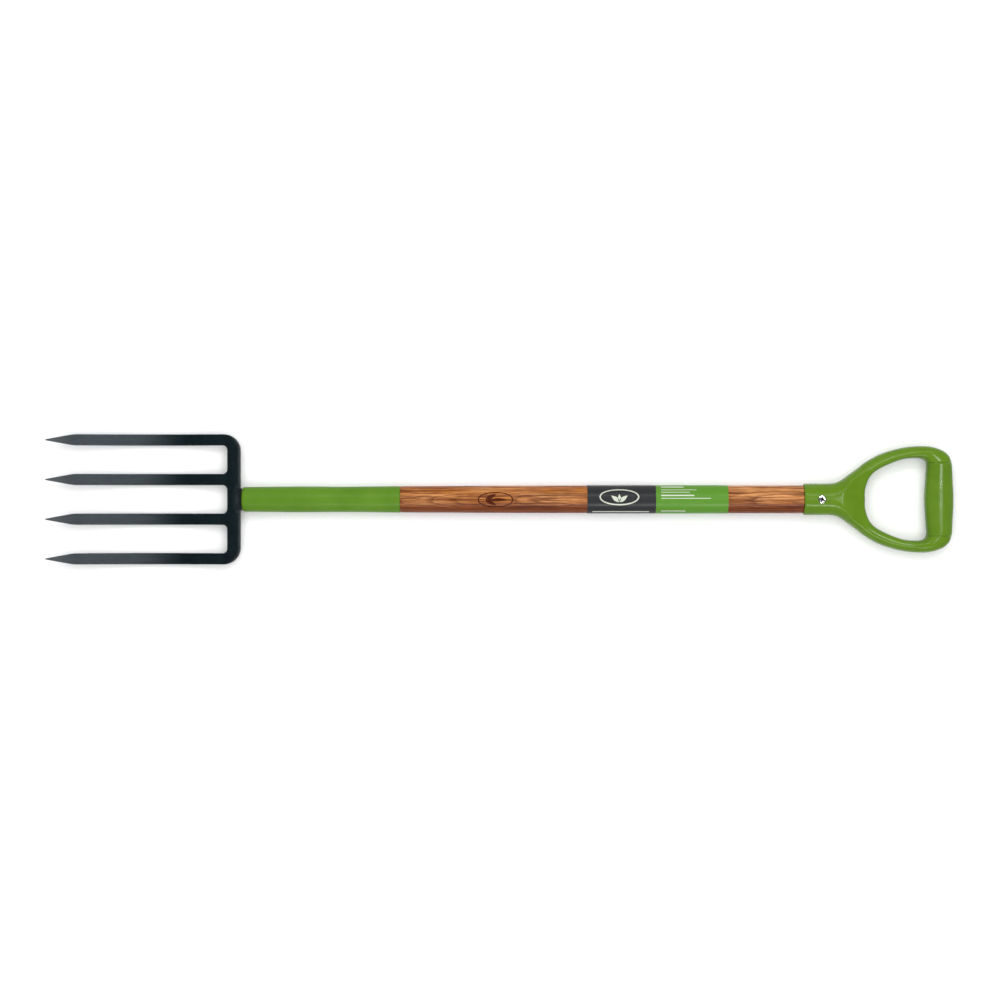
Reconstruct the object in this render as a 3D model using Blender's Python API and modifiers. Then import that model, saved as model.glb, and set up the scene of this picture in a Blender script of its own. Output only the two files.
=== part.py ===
"""A four-tined digging fork with a wooden shaft and a moulded D-shaped hand grip.

The fork lies on its back. +X runs along the shaft towards the hand grip, +Y across the tines and +Z out
of the front face. The origin is under the middle of the fork, on the surface that it lies on.
"""

import math

import bmesh
import bpy
from mathutils import Vector

# Whole fork
FORK_LENGTH = 1.100
AXIS_Z = 0.0190  # height of the shaft's axis: the radius of the grip's socket
GAP = 0.0003  # clearance between pieces that touch
ROUND_STEPS = 40  # facets round a turned piece
SHARP_ANGLE = math.radians(35)  # edges sharper than this are shaded sharp

# Fork head: one forging
TINE_PITCH = 0.0481
TINE_WIDTH = 0.0136
TINE_DISH_RADIUS = 0.330  # side view: the tines are dished on this radius
TINE_LOW_X = -0.4200  # where the dish is lowest
TINE_LOW_FRONT_Z = 0.0095
TINE_ROOT_DEPTH = 0.0110
TINE_END_DEPTH = 0.0075
TINE_CHAMFER = 0.0009
TINE_RIDGE = 0.0015  # half width of the flat along the ridged back
TINE_SIDE_SHARE = 0.55  # share of the depth that the upright sides take
TINE_STEPS = 10
POINT_LENGTH = 0.0340
POINT_WIDTH = 0.0012
POINT_DEPTH = 0.0012
CROSSBAR_BACK_X = -0.3142
CROSSBAR_WIDTH = 0.0155
CROSSBAR_DEPTH = 0.0164
CROSSBAR_FRONT_Z = 0.0223
CROSSBAR_CHAMFER = 0.0022
CORNER_RADIUS = 0.0200
CORNER_STEPS = 8
CORNER_LEAD = 0.0060  # the last straight stretch of an outer tine before its corner
ROOT_FILLET = 0.0055
ROOT_FILLET_START = -72  # degrees round the fillet, where it is wide enough to show
ROOT_FILLET_STEPS = 4
ROOT_OVERLAP = 0.0060  # how far an inner tine reaches into the crossbar
TANG_OVERLAP = 0.0040  # how far the tang reaches into the neck
TANG_END_X = -0.1600
TANG_ROOT_RADIUS = 0.0080
TANG_END_RADIUS = 0.0040

# Ferrule: a steel sleeve, closed at the head but for the tang's hole
FERRULE_HEAD_X = -0.3120
FERRULE_END_X = -0.1202
FERRULE_WALL = 0.0014
FERRULE_CORNER = 0.0050
FERRULE_STATIONS = ((FERRULE_END_X, 0.0161), (-0.188, 0.01535), (-0.245, 0.0156), (-0.300, 0.0150))

# Shaft
SHAFT_STATIONS = ((0.2000, 0.0167), (0.0260, 0.0165), (-0.0900, 0.0160))
SHAFT_HEAD_RADIUS = 0.0158
SHAFT_GRIP_RADIUS = 0.0168
TENON_RADIUS = 0.0149
TENON_END_X = 0.4170
END_CHAMFER = 0.0010
NOSE_DROP = 0.0030  # the cone at the shaft's end in the ferrule: its fall in radius, and its length
NOSE_LENGTH = 0.0045

# Printed wrap on the shaft
WRAP_START_X = 0.1061
WRAP_END_X = 0.2762
WRAP_CLEARANCE = 0.0002
WRAP_THICKNESS = 0.00025

# Hand grip
SOCKET_X = 0.3682
SOCKET_RADIUS = 0.0190
SOCKET_MOUTH_RADIUS = 0.0182
GRIP_DEPTH = 0.0250
GRIP_ROUNDING = 0.0060
BAR_SWELL = 1.20  # how much deeper the bar is than the arms
SWELL_START_X = 0.4880
SWELL_END_X = 0.5340
BAR_X = 0.5325
BAR_CUT = ((0.500, -0.010), (0.560, 0.050))  # low and high (x, z) of the box round the bar
CORE_RADIUS = 0.0095
CORE_HALF_LENGTH = 0.0520
SEAM_Y = 0.0446  # each end of the sleeve on the bar

# Rivet and washer
RIVET_X = 0.3888
RIVET_RADIUS = 0.0029
RIVET_BORE_RADIUS = 0.0020
RIVET_FLANGE_RADIUS = 0.0045
RIVET_HEAD_HEIGHT = 0.0011
RIVET_CLINCH_HEIGHT = 0.0009
RIVET_HOLE_RADIUS = 0.0033
FRONT_RECESS = (0.0056, 0.0363)  # radius, and the height of its floor
BACK_RECESS = (0.0067, 0.0026)
WASHER_RADIUS = 0.0062
WASHER_HOLE_RADIUS = 0.0032
WASHER_THICKNESS = 0.0008

# Nail
NAIL_X = -0.1450
NAIL_RADIUS = 0.0016
NAIL_HEAD_RADIUS = 0.0034
NAIL_HEAD_HEIGHT = 0.0012
NAIL_POINT_LENGTH = 0.0030
NAIL_HOLE_RADIUS = 0.0019
NAIL_TIP_Z = 0.0150

# Cutters run past the fork on all sides
CUT_LOW_Z = -0.0050
CUT_HIGH_Z = 0.0450
CUT_HALF_WIDTH = 0.0600
BORE_START_X = SOCKET_X - 0.0080

TIP_X = -FORK_LENGTH / 2
ROOT_X = CROSSBAR_BACK_X - CROSSBAR_WIDTH
OUTER_TINE_Y = 1.5 * TINE_PITCH
INNER_TINE_Y = 0.5 * TINE_PITCH
SHAFT_HEAD_X = FERRULE_END_X + GAP
SHAFT_GRIP_X = SOCKET_X - GAP

# Plan of the hand grip for y >= 0, from the socket to the bar. Each point is an (x, y) on a smooth curve.
GRIP_OUTLINE = (
    (0.4180, 0.0000),
    (0.4190, 0.0190),
    (0.4260, 0.0310),
    (0.4340, 0.0379),
    (0.4430, 0.0448),
    (0.4612, 0.0547),
    (0.4854, 0.0620),
    (0.5096, 0.0646),
    (0.5280, 0.0625),
    (0.5415, 0.0558),
    (0.5475, 0.0448),
    (0.5490, 0.0240),
    (FORK_LENGTH / 2, 0.0000),
)
GRIP_OPENING = (
    (0.4425, 0.0000),
    (0.4432, 0.0135),
    (0.4491, 0.0275),
    (0.4612, 0.0373),
    (0.4854, 0.0475),
    (0.5030, 0.0498),
    (0.5110, 0.0491),
    (0.5158, 0.0464),
    (0.5172, 0.0410),
    (0.5163, 0.0290),
    (0.5147, 0.0000),
)
# Sections are rounded rectangles: x, middle z, half width, half depth and squareness, where 2 is round.
NECK_FACE_X = FERRULE_HEAD_X - GAP
NECK_SECTIONS = (
    (NECK_FACE_X, AXIS_Z, 0.0139, 0.0128, 2.1),
    (NECK_FACE_X - 0.0020, AXIS_Z - 0.0003, 0.0139, 0.0126, 2.2),
    (NECK_FACE_X - 0.0060, AXIS_Z - 0.0018, 0.0146, 0.0112, 2.6),
    (NECK_FACE_X - 0.0120, AXIS_Z - 0.0038, 0.0160, 0.0090, 3.2),
    (NECK_FACE_X - 0.0180, AXIS_Z - 0.0048, 0.0175, 0.0072, 4.0),
)
# The socket as it flares into the arms
FLARE_SECTIONS = (
    (SOCKET_X, AXIS_Z, SOCKET_MOUTH_RADIUS, SOCKET_MOUTH_RADIUS, 2.0),
    (SOCKET_X + 0.0012, AXIS_Z, SOCKET_RADIUS, SOCKET_RADIUS, 2.0),
    (0.4000, AXIS_Z, SOCKET_RADIUS, SOCKET_RADIUS, 2.0),
    (0.4065, AXIS_Z, 0.0200, 0.0189, 2.05),
    (0.4127, AXIS_Z, 0.0225, 0.0184, 2.2),
    (0.4188, AXIS_Z, 0.0267, 0.0174, 2.4),
    (0.4248, AXIS_Z, 0.0313, 0.0160, 2.7),
    (0.4305, AXIS_Z, 0.0353, 0.0143, 3.0),
    (0.4350, AXIS_Z, 0.0370, 0.0122, 3.2),
)


def clear_scene():
    for obj in list(bpy.data.objects):
        bpy.data.objects.remove(obj, do_unlink=True)


def new_collection(name, hidden=False):
    collection = bpy.data.collections.new(name)
    bpy.context.scene.collection.children.link(collection)
    collection.hide_render = hidden
    return collection


def principled(name, color, roughness, metallic=0.0):
    material = bpy.data.materials.new(name)
    material.use_nodes = True
    shader = material.node_tree.nodes["Principled BSDF"]
    shader.inputs["Base Color"].default_value = (*color, 1.0)
    shader.inputs["Roughness"].default_value = roughness
    shader.inputs["Metallic"].default_value = metallic
    return material


def new_object(name, mesh, collection):
    obj = bpy.data.objects.new(name, mesh)
    collection.objects.link(obj)
    return obj


def mesh_from(name, bm):
    mesh = bpy.data.meshes.new(name)
    bm.to_mesh(mesh)
    bm.free()
    return mesh


def evaluated_mesh(obj):
    bpy.context.view_layer.update()
    return bpy.data.meshes.new_from_object(obj.evaluated_get(bpy.context.evaluated_depsgraph_get()))


def finish(obj, material):
    """Applies a piece's modifiers, then gives it its material and smooth shading between sharp edges."""
    obj.data = evaluated_mesh(obj)
    obj.data.name = obj.name
    obj.modifiers.clear()
    obj.data.materials.clear()
    obj.data.materials.append(material)
    obj.data.shade_smooth()
    obj.data.set_sharp_from_angle(angle=SHARP_ANGLE)


def as_helper(obj):
    obj.hide_render = True
    obj.display_type = "WIRE"
    return obj


def boolean(obj, other, operation):
    modifier = obj.modifiers.new(f"{operation.lower()} {other.name}", "BOOLEAN")
    modifier.operation = operation
    modifier.object = other


def loft(name, rings, collection):
    """A closed body through rings that have the same number of points."""
    bm = bmesh.new()
    rows = [[bm.verts.new(point) for point in ring] for ring in rings]
    for row, following in zip(rows, rows[1:]):
        for index in range(len(row)):
            after = (index + 1) % len(row)
            bm.faces.new((row[index], row[after], following[after], following[index]))
    bm.faces.new(rows[0])
    bm.faces.new(list(reversed(rows[-1])))
    bmesh.ops.recalc_face_normals(bm, faces=bm.faces)
    return new_object(name, mesh_from(name, bm), collection)


def turned(name, profile, collection, closed=False, along_shaft=True, centre=(0.0, 0.0, AXIS_Z)):
    """Turns a profile of (radius, height) points, which runs down its outer side from top to bottom."""
    bm = bmesh.new()
    points = [bm.verts.new((radius, 0.0, height)) for radius, height in profile]
    for start, end in zip(points, points[1:]):
        bm.edges.new((start, end))
    if closed:
        bm.edges.new((points[-1], points[0]))
    obj = new_object(name, mesh_from(name, bm), collection)
    obj.location = centre
    if along_shaft:
        obj.rotation_euler = (0.0, math.pi / 2, 0.0)
    screw = obj.modifiers.new("turn", "SCREW")
    screw.steps = ROUND_STEPS
    screw.render_steps = ROUND_STEPS
    screw.use_merge_vertices = True
    screw.merge_threshold = 0.0001
    screw.use_smooth_shade = True
    return obj


def cylinder(name, radius, start, end, collection, end_radius=None, segments=ROUND_STEPS):
    """A cylinder, or a cone where end_radius is given, between two points."""
    start = Vector(start)
    end = Vector(end)
    bm = bmesh.new()
    bmesh.ops.create_cone(
        bm,
        cap_ends=True,
        segments=segments,
        radius1=radius,
        radius2=radius if end_radius is None else end_radius,
        depth=(end - start).length,
    )
    obj = new_object(name, mesh_from(name, bm), collection)
    obj.location = (start + end) / 2
    obj.rotation_mode = "QUATERNION"
    obj.rotation_quaternion = (end - start).to_track_quat("Z", "Y")
    return obj


def box(name, low, high, collection):
    bm = bmesh.new()
    bmesh.ops.create_cube(bm, size=1.0)
    size = Vector(high) - Vector(low)
    bmesh.ops.scale(bm, vec=size, verts=bm.verts)
    obj = new_object(name, mesh_from(name, bm), collection)
    obj.location = (Vector(low) + Vector(high)) / 2
    return obj


def arc(centre, radius, start_degrees, end_degrees, steps):
    """Points on an arc in a plane, from one angle to the other."""
    points = []
    for step in range(steps + 1):
        angle = math.radians(start_degrees + (end_degrees - start_degrees) * step / steps)
        points.append((centre[0] + radius * math.cos(angle), centre[1] + radius * math.sin(angle)))
    return points


def blend(low, high, share):
    return low + (high - low) * share


def rounded_section(x, middle_z, half_width, half_depth, squareness):
    """A ring across the shaft's axis, round where squareness is 2 and squarer above."""
    ring = []
    for step in range(ROUND_STEPS):
        angle = 2 * math.pi * step / ROUND_STEPS
        across = math.copysign(abs(math.cos(angle)) ** (2 / squareness), math.cos(angle))
        up = math.copysign(abs(math.sin(angle)) ** (2 / squareness), math.sin(angle))
        ring.append((x, half_width * across, middle_z + half_depth * up))
    return ring


# ---- fork head ----


def tine_front(x):
    """Height of the tines' front face, which dips behind the shaft and curves forward to the points."""
    return TINE_LOW_FRONT_Z + (min(x, ROOT_X) - TINE_LOW_X) ** 2 / (2 * TINE_DISH_RADIUS)


def bar_section(outer, inner, front, depth, outer_chamfer, shoulder, ridge):
    """A ring between two plan points: a flat front, short sides and a back that slopes to a flat."""
    outer = Vector(outer)
    inner = Vector(inner)
    width = (outer - inner).length
    across = (outer - inner) / width
    middle = width / 2
    inner_chamfer = min(TINE_CHAMFER, outer_chamfer)
    corners = (
        (inner_chamfer, 0.0),
        (width - outer_chamfer, 0.0),
        (width, outer_chamfer),
        (width, shoulder),
        (middle + ridge, depth),
        (middle - ridge, depth),
        (0.0, shoulder),
        (0.0, inner_chamfer),
    )
    return [(*(inner + across * offset), front - down) for offset, down in corners]


def tine_section(x, y, outward, flare=0.0):
    """A tine's ring at x. It narrows to a point over the last stretch."""
    to_point = min((x - TIP_X) / POINT_LENGTH, 1.0)
    along = (ROOT_X - x) / (ROOT_X - TIP_X - POINT_LENGTH)
    full_depth = blend(TINE_ROOT_DEPTH, TINE_END_DEPTH, min(max(along, 0.0), 1.0))
    width = blend(POINT_WIDTH, TINE_WIDTH, to_point) + 2 * flare
    depth = blend(POINT_DEPTH, full_depth, to_point)
    return bar_section(
        (x, y + outward * width / 2),
        (x, y - outward * width / 2),
        tine_front(x),
        depth,
        min(TINE_CHAMFER, POINT_WIDTH / 4 + TINE_CHAMFER * to_point),
        depth * TINE_SIDE_SHARE,
        min(TINE_RIDGE, width / 4),
    )


def tine_stations(end_x):
    """The places of a tine's rings, from its tip to end_x."""
    shoulder_x = TIP_X + POINT_LENGTH
    return [TIP_X] + [blend(shoulder_x, end_x, step / TINE_STEPS) for step in range(TINE_STEPS + 1)]


def crossbar_section(outer, inner, turn):
    """A ring in a corner of the rim or in the crossbar: turn is 0 at the tine and 1 at the crossbar."""
    width = (Vector(outer) - Vector(inner)).length
    depth = blend(TINE_ROOT_DEPTH, CROSSBAR_DEPTH, turn)
    flat_back = depth - CROSSBAR_CHAMFER
    return bar_section(
        outer,
        inner,
        blend(tine_front(outer[0]), CROSSBAR_FRONT_Z, turn),
        depth,
        blend(TINE_CHAMFER, CROSSBAR_CHAMFER, turn),
        blend(TINE_ROOT_DEPTH * TINE_SIDE_SHARE, flat_back, turn),
        blend(TINE_RIDGE, width / 2 - CROSSBAR_CHAMFER, turn),
    )


def corner_sections(side):
    """Rings round the corner between an outer tine and the crossbar."""
    edge_y = OUTER_TINE_Y + TINE_WIDTH / 2
    outer_centre = (CROSSBAR_BACK_X - CORNER_RADIUS, edge_y - CORNER_RADIUS)
    inner_centre = (ROOT_X - ROOT_FILLET, edge_y - TINE_WIDTH - ROOT_FILLET)
    outer_arc = arc(outer_centre, CORNER_RADIUS, 90, 0, CORNER_STEPS)
    inner_arc = arc(inner_centre, ROOT_FILLET, 90, 0, CORNER_STEPS)
    rings = []
    for step, (outer, inner) in enumerate(zip(outer_arc, inner_arc)):
        turn = step / CORNER_STEPS
        rings.append(crossbar_section((outer[0], side * outer[1]), (inner[0], side * inner[1]), turn))
    return rings


def rim(collection):
    """The two outer tines and the crossbar, as one bent bar."""
    corner_start = CROSSBAR_BACK_X - CORNER_RADIUS - CORNER_LEAD
    half = []
    for side in (1, -1):
        tine = [tine_section(x, side * OUTER_TINE_Y, side) for x in tine_stations(corner_start)]
        half.append(tine + corner_sections(side))
    return loft("fork_head", half[0] + half[1][::-1], collection)


def inner_tine(name, y, collection):
    """An inner tine, which widens into the crossbar with a fillet on each side."""
    fillet_x = ROOT_X - ROOT_FILLET
    rings = [tine_section(x, y, 1) for x in tine_stations(fillet_x)]
    for x, rise in arc((fillet_x, ROOT_FILLET), ROOT_FILLET, ROOT_FILLET_START, 0, ROOT_FILLET_STEPS):
        rings.append(tine_section(x, y, 1, flare=rise))
    rings.append(tine_section(ROOT_X + ROOT_OVERLAP, y, 1, flare=ROOT_FILLET))
    return loft(name, rings, collection)


def neck(collection):
    """The swelling that rises from the crossbar to the shaft's axis and stops the ferrule."""
    return loft("neck", [rounded_section(*section) for section in NECK_SECTIONS], collection)


def tang(name, clearance, collection):
    """The square spike that is driven into the shaft, or with clearance the bore that it leaves."""
    start = (FERRULE_HEAD_X - TANG_OVERLAP, 0.0, AXIS_Z)
    end = (TANG_END_X + clearance, 0.0, AXIS_Z)
    # Across the corners of a square, clearance on its faces counts by the square root of two.
    extra = clearance * math.sqrt(2)
    return cylinder(
        name, TANG_ROOT_RADIUS + extra, start, end, collection, TANG_END_RADIUS + extra, segments=4
    )


def make_fork_head(parts, helpers):
    head = rim(parts)
    for name, y in (("inner_tine_left", INNER_TINE_Y), ("inner_tine_right", -INNER_TINE_Y)):
        boolean(head, as_helper(inner_tine(name, y, helpers)), "UNION")
    boolean(head, as_helper(neck(helpers)), "UNION")
    boolean(head, as_helper(tang("tang", 0.0, helpers)), "UNION")
    finish(head, principled("forged_steel", (0.030, 0.038, 0.042), 0.42, 0.6))


# ---- ferrule and its nail ----


def make_ferrule(parts, helpers):
    corner_x = FERRULE_HEAD_X + FERRULE_CORNER
    corner_r = FERRULE_STATIONS[-1][1] - FERRULE_CORNER
    outer = [(radius, x) for x, radius in FERRULE_STATIONS]
    outer += arc((corner_r, corner_x), FERRULE_CORNER, 0, -90, 5)
    inner_corner = FERRULE_CORNER - FERRULE_WALL
    inner = arc((corner_r, corner_x), inner_corner, -90, 0, 5)
    inner += [(radius - FERRULE_WALL, x) for x, radius in reversed(FERRULE_STATIONS)]
    hole = TANG_ROOT_RADIUS + 2 * GAP
    rim_points = [(hole, FERRULE_HEAD_X), (hole, FERRULE_HEAD_X + FERRULE_WALL)]
    ferrule = turned("ferrule", outer + rim_points + inner, parts, closed=True)
    boolean(ferrule, bpy.data.objects["nail_hole"], "DIFFERENCE")
    finish(ferrule, principled("green_powder_coat", (0.150, 0.300, 0.035), 0.38))


def make_ferrule_nail(parts):
    """The nail through the back of the ferrule into the shaft."""
    head_top = AXIS_Z - FERRULE_STATIONS[0][1] - GAP
    profile = (
        (0.0, NAIL_TIP_Z),
        (NAIL_RADIUS, NAIL_TIP_Z - NAIL_POINT_LENGTH),
        (NAIL_RADIUS, head_top),
        (NAIL_HEAD_RADIUS, head_top),
        (NAIL_HEAD_RADIUS * 0.9, head_top - NAIL_HEAD_HEIGHT * 0.6),
        (NAIL_HEAD_RADIUS * 0.5, head_top - NAIL_HEAD_HEIGHT * 0.9),
        (0.0, head_top - NAIL_HEAD_HEIGHT),
    )
    nail = turned("ferrule_nail", profile, parts, along_shaft=False, centre=(NAIL_X, 0.0, 0.0))
    finish(nail, principled("zinc", (0.55, 0.56, 0.56), 0.35, 1.0))


# ---- shaft and its printed wrap ----


def make_wood_shaft(parts):
    ferrule_bore = [(radius - FERRULE_WALL - GAP, x) for x, radius in FERRULE_STATIONS]
    nose_r = ferrule_bore[-1][0] - NOSE_DROP
    nose_x = FERRULE_HEAD_X + FERRULE_WALL + GAP
    profile = [
        (0.0, TENON_END_X),
        (TENON_RADIUS - END_CHAMFER, TENON_END_X),
        (TENON_RADIUS, TENON_END_X - END_CHAMFER),
        (TENON_RADIUS, SHAFT_GRIP_X),
        (SHAFT_GRIP_RADIUS, SHAFT_GRIP_X),
    ]
    profile += [(radius, x) for x, radius in SHAFT_STATIONS]
    profile += [(SHAFT_HEAD_RADIUS, SHAFT_HEAD_X), (ferrule_bore[0][0], SHAFT_HEAD_X)]
    profile += ferrule_bore[1:]
    profile += [(nose_r + NOSE_DROP, nose_x + NOSE_LENGTH), (nose_r, nose_x), (0.0, nose_x)]
    shaft = turned("wood_shaft", profile, parts)
    for cutter in ("tang_bore", "rivet_hole", "nail_hole"):
        boolean(shaft, bpy.data.objects[cutter], "DIFFERENCE")
    finish(shaft, principled("lacquered_wood", (0.420, 0.170, 0.060), 0.35))


def make_wrap_label(parts):
    inner = SHAFT_GRIP_RADIUS + WRAP_CLEARANCE
    outer = inner + WRAP_THICKNESS
    profile = ((outer, WRAP_END_X), (outer, WRAP_START_X), (inner, WRAP_START_X), (inner, WRAP_END_X))
    wrap = turned("wrap_label", profile, parts, closed=True)
    finish(wrap, principled("printed_film", (0.045, 0.047, 0.050), 0.40))


# ---- hand grip ----


def grip_plate(name, collection):
    """The whole D in plan, with its opening, rounded edges and a deeper bar."""
    curve = bpy.data.curves.new(name, "CURVE")
    curve.dimensions = "2D"
    curve.fill_mode = "BOTH"
    curve.resolution_u = 4
    curve.extrude = GRIP_DEPTH / 2 - GRIP_ROUNDING
    curve.bevel_depth = GRIP_ROUNDING
    curve.bevel_resolution = 2
    curve.offset = -GRIP_ROUNDING
    for half in (GRIP_OUTLINE, GRIP_OPENING):
        far_side = [(x, -y) for x, y in reversed(half[1:-1])]
        spline = curve.splines.new("BEZIER")
        spline.use_cyclic_u = True
        spline.bezier_points.add(len(half) + len(far_side) - 1)
        for point, (x, y) in zip(spline.bezier_points, (*half, *far_side)):
            point.co = (x, y, 0.0)
            point.handle_left_type = "AUTO"
            point.handle_right_type = "AUTO"
    guide = new_object(f"{name}_curve", curve, collection)
    guide.location.z = AXIS_Z
    mesh = evaluated_mesh(guide)
    bm = bmesh.new()
    bm.from_mesh(mesh)
    bmesh.ops.remove_doubles(bm, verts=bm.verts, dist=0.00005)
    for vertex in bm.verts:
        share = (vertex.co.x - SWELL_START_X) / (SWELL_END_X - SWELL_START_X)
        share = min(max(share, 0.0), 1.0)
        vertex.co.z *= 1 + (BAR_SWELL - 1) * share * share * (3 - 2 * share)
    bmesh.ops.recalc_face_normals(bm, faces=bm.faces)
    bm.to_mesh(mesh)
    bm.free()
    plate = new_object(name, mesh, collection)
    plate.matrix_world = guide.matrix_world.copy()
    bpy.data.objects.remove(guide)
    return plate


def flare(collection):
    """The socket and the neck that widens from it into the two arms."""
    return loft("flare", [rounded_section(*section) for section in FLARE_SECTIONS], collection)


def bar_box(name, half_length, collection):
    """A box round the bar, from one end of a stretch of it to the other."""
    (low_x, low_z), (high_x, high_z) = BAR_CUT
    return box(name, (low_x, -half_length, low_z), (high_x, half_length, high_z), collection)


def bar_rod(name, radius, half_length, collection):
    """A round rod along the bar's middle."""
    return cylinder(name, radius, (BAR_X, -half_length, AXIS_Z), (BAR_X, half_length, AXIS_Z), collection)


def make_d_grip_frame(parts, helpers):
    frame = grip_plate("d_grip_frame", parts)
    bar_gap = bar_box("bar_gap", SEAM_Y, helpers)
    core = bar_rod("core", CORE_RADIUS, CORE_HALF_LENGTH, helpers)
    boolean(frame, as_helper(bar_gap), "DIFFERENCE")
    boolean(frame, as_helper(core), "UNION")
    boolean(frame, as_helper(flare(helpers)), "UNION")
    bore_end = TENON_END_X + GAP
    bore = cylinder(
        "socket_bore", TENON_RADIUS + GAP, (BORE_START_X, 0.0, AXIS_Z), (bore_end, 0.0, AXIS_Z), helpers
    )
    boolean(frame, as_helper(bore), "DIFFERENCE")
    front_radius, front_floor = FRONT_RECESS
    back_radius, back_floor = BACK_RECESS
    front = cylinder(
        "front_recess", front_radius, (RIVET_X, 0.0, front_floor), (RIVET_X, 0.0, CUT_HIGH_Z), helpers
    )
    back = cylinder(
        "back_recess", back_radius, (RIVET_X, 0.0, CUT_LOW_Z), (RIVET_X, 0.0, back_floor), helpers
    )
    boolean(frame, as_helper(front), "DIFFERENCE")
    boolean(frame, as_helper(back), "DIFFERENCE")
    boolean(frame, bpy.data.objects["rivet_hole"], "DIFFERENCE")
    finish(frame, principled("green_plastic", (0.140, 0.300, 0.025), 0.28))


def make_grip_sleeve(parts, helpers):
    """The sleeve moulded over the bar, between the seams at its ends."""
    sleeve = grip_plate("grip_sleeve", parts)
    keep = bar_box("sleeve_length", SEAM_Y - GAP, helpers)
    hollow = bar_rod("sleeve_hollow", CORE_RADIUS + GAP, CUT_HALF_WIDTH, helpers)
    boolean(sleeve, as_helper(keep), "INTERSECT")
    boolean(sleeve, as_helper(hollow), "DIFFERENCE")
    finish(sleeve, principled("green_soft_plastic", (0.125, 0.270, 0.030), 0.40))


def make_grip_rivet(parts):
    """A tubular rivet: a domed head in front, and a clinched flange behind the washer."""
    head_low = FRONT_RECESS[1] + GAP
    clinch_high = BACK_RECESS[1] - 2 * GAP - WASHER_THICKNESS
    profile = (
        (RIVET_BORE_RADIUS, head_low + RIVET_HEAD_HEIGHT),
        (RIVET_FLANGE_RADIUS * 0.75, head_low + RIVET_HEAD_HEIGHT),
        (RIVET_FLANGE_RADIUS * 0.98, head_low + RIVET_HEAD_HEIGHT / 2),
        (RIVET_FLANGE_RADIUS, head_low),
        (RIVET_RADIUS, head_low),
        (RIVET_RADIUS, clinch_high),
        (RIVET_FLANGE_RADIUS, clinch_high),
        (RIVET_FLANGE_RADIUS * 0.96, clinch_high - RIVET_CLINCH_HEIGHT * 0.7),
        (RIVET_FLANGE_RADIUS * 0.75, clinch_high - RIVET_CLINCH_HEIGHT),
        (RIVET_BORE_RADIUS, clinch_high - RIVET_CLINCH_HEIGHT),
    )
    rivet = turned("grip_rivet", profile, parts, closed=True, along_shaft=False, centre=(RIVET_X, 0.0, 0.0))
    finish(rivet, principled("nickel_plate", (0.75, 0.75, 0.74), 0.20, 1.0))


def make_rivet_washer(parts):
    high = BACK_RECESS[1] - GAP
    low = high - WASHER_THICKNESS
    outer = ((WASHER_RADIUS, high), (WASHER_RADIUS, low))
    inner = ((WASHER_HOLE_RADIUS, low), (WASHER_HOLE_RADIUS, high))
    profile = (*outer, *inner)
    washer = turned("rivet_washer", profile, parts, closed=True, along_shaft=False, centre=(RIVET_X, 0, 0))
    finish(washer, principled("zinc_washer", (0.60, 0.60, 0.60), 0.35, 1.0))


def make_hole_cutters(helpers):
    """The holes that two pieces share."""
    rivet_ends = ((RIVET_X, 0.0, CUT_LOW_Z), (RIVET_X, 0.0, CUT_HIGH_Z))
    nail_ends = ((NAIL_X, 0.0, CUT_LOW_Z), (NAIL_X, 0.0, NAIL_TIP_Z + GAP))
    as_helper(tang("tang_bore", GAP, helpers))
    as_helper(cylinder("rivet_hole", RIVET_HOLE_RADIUS, *rivet_ends, helpers))
    as_helper(cylinder("nail_hole", NAIL_HOLE_RADIUS, *nail_ends, helpers))


def main():
    clear_scene()
    parts = new_collection("digging_fork")
    helpers = new_collection("helpers", hidden=True)
    make_hole_cutters(helpers)
    make_fork_head(parts, helpers)
    make_ferrule(parts, helpers)
    make_ferrule_nail(parts)
    make_wood_shaft(parts)
    make_wrap_label(parts)
    make_d_grip_frame(parts, helpers)
    make_grip_sleeve(parts, helpers)
    make_grip_rivet(parts)
    make_rivet_washer(parts)
    for helper in list(helpers.objects):
        bpy.data.objects.remove(helper)
    bpy.data.collections.remove(helpers)


main()
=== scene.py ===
"""Looks of the digging fork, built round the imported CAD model.

+X runs along the shaft towards the hand grip, +Y across the tines and +Z out of the front face.
All lengths are in metres. Each piece is a finer model of the CAD node that it replaces.
"""
import math

import bmesh
import bpy
import numpy as np
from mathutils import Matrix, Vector, geometry
from mathutils.bvhtree import BVHTree


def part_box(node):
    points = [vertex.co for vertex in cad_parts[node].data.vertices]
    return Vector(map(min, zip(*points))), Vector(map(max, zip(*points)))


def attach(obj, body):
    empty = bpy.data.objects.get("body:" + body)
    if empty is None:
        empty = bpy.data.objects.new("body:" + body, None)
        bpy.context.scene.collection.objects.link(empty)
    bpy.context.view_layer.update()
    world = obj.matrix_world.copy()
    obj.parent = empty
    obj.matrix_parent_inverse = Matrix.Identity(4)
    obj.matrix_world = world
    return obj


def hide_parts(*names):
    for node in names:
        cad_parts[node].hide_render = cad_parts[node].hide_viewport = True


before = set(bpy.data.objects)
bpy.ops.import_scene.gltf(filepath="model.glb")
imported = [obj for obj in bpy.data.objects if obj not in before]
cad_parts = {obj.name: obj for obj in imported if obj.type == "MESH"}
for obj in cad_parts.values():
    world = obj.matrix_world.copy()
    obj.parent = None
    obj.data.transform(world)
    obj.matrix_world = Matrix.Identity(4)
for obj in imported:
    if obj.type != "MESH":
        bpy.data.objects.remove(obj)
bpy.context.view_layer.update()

# ---- sizes: what the frame gives ----

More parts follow.
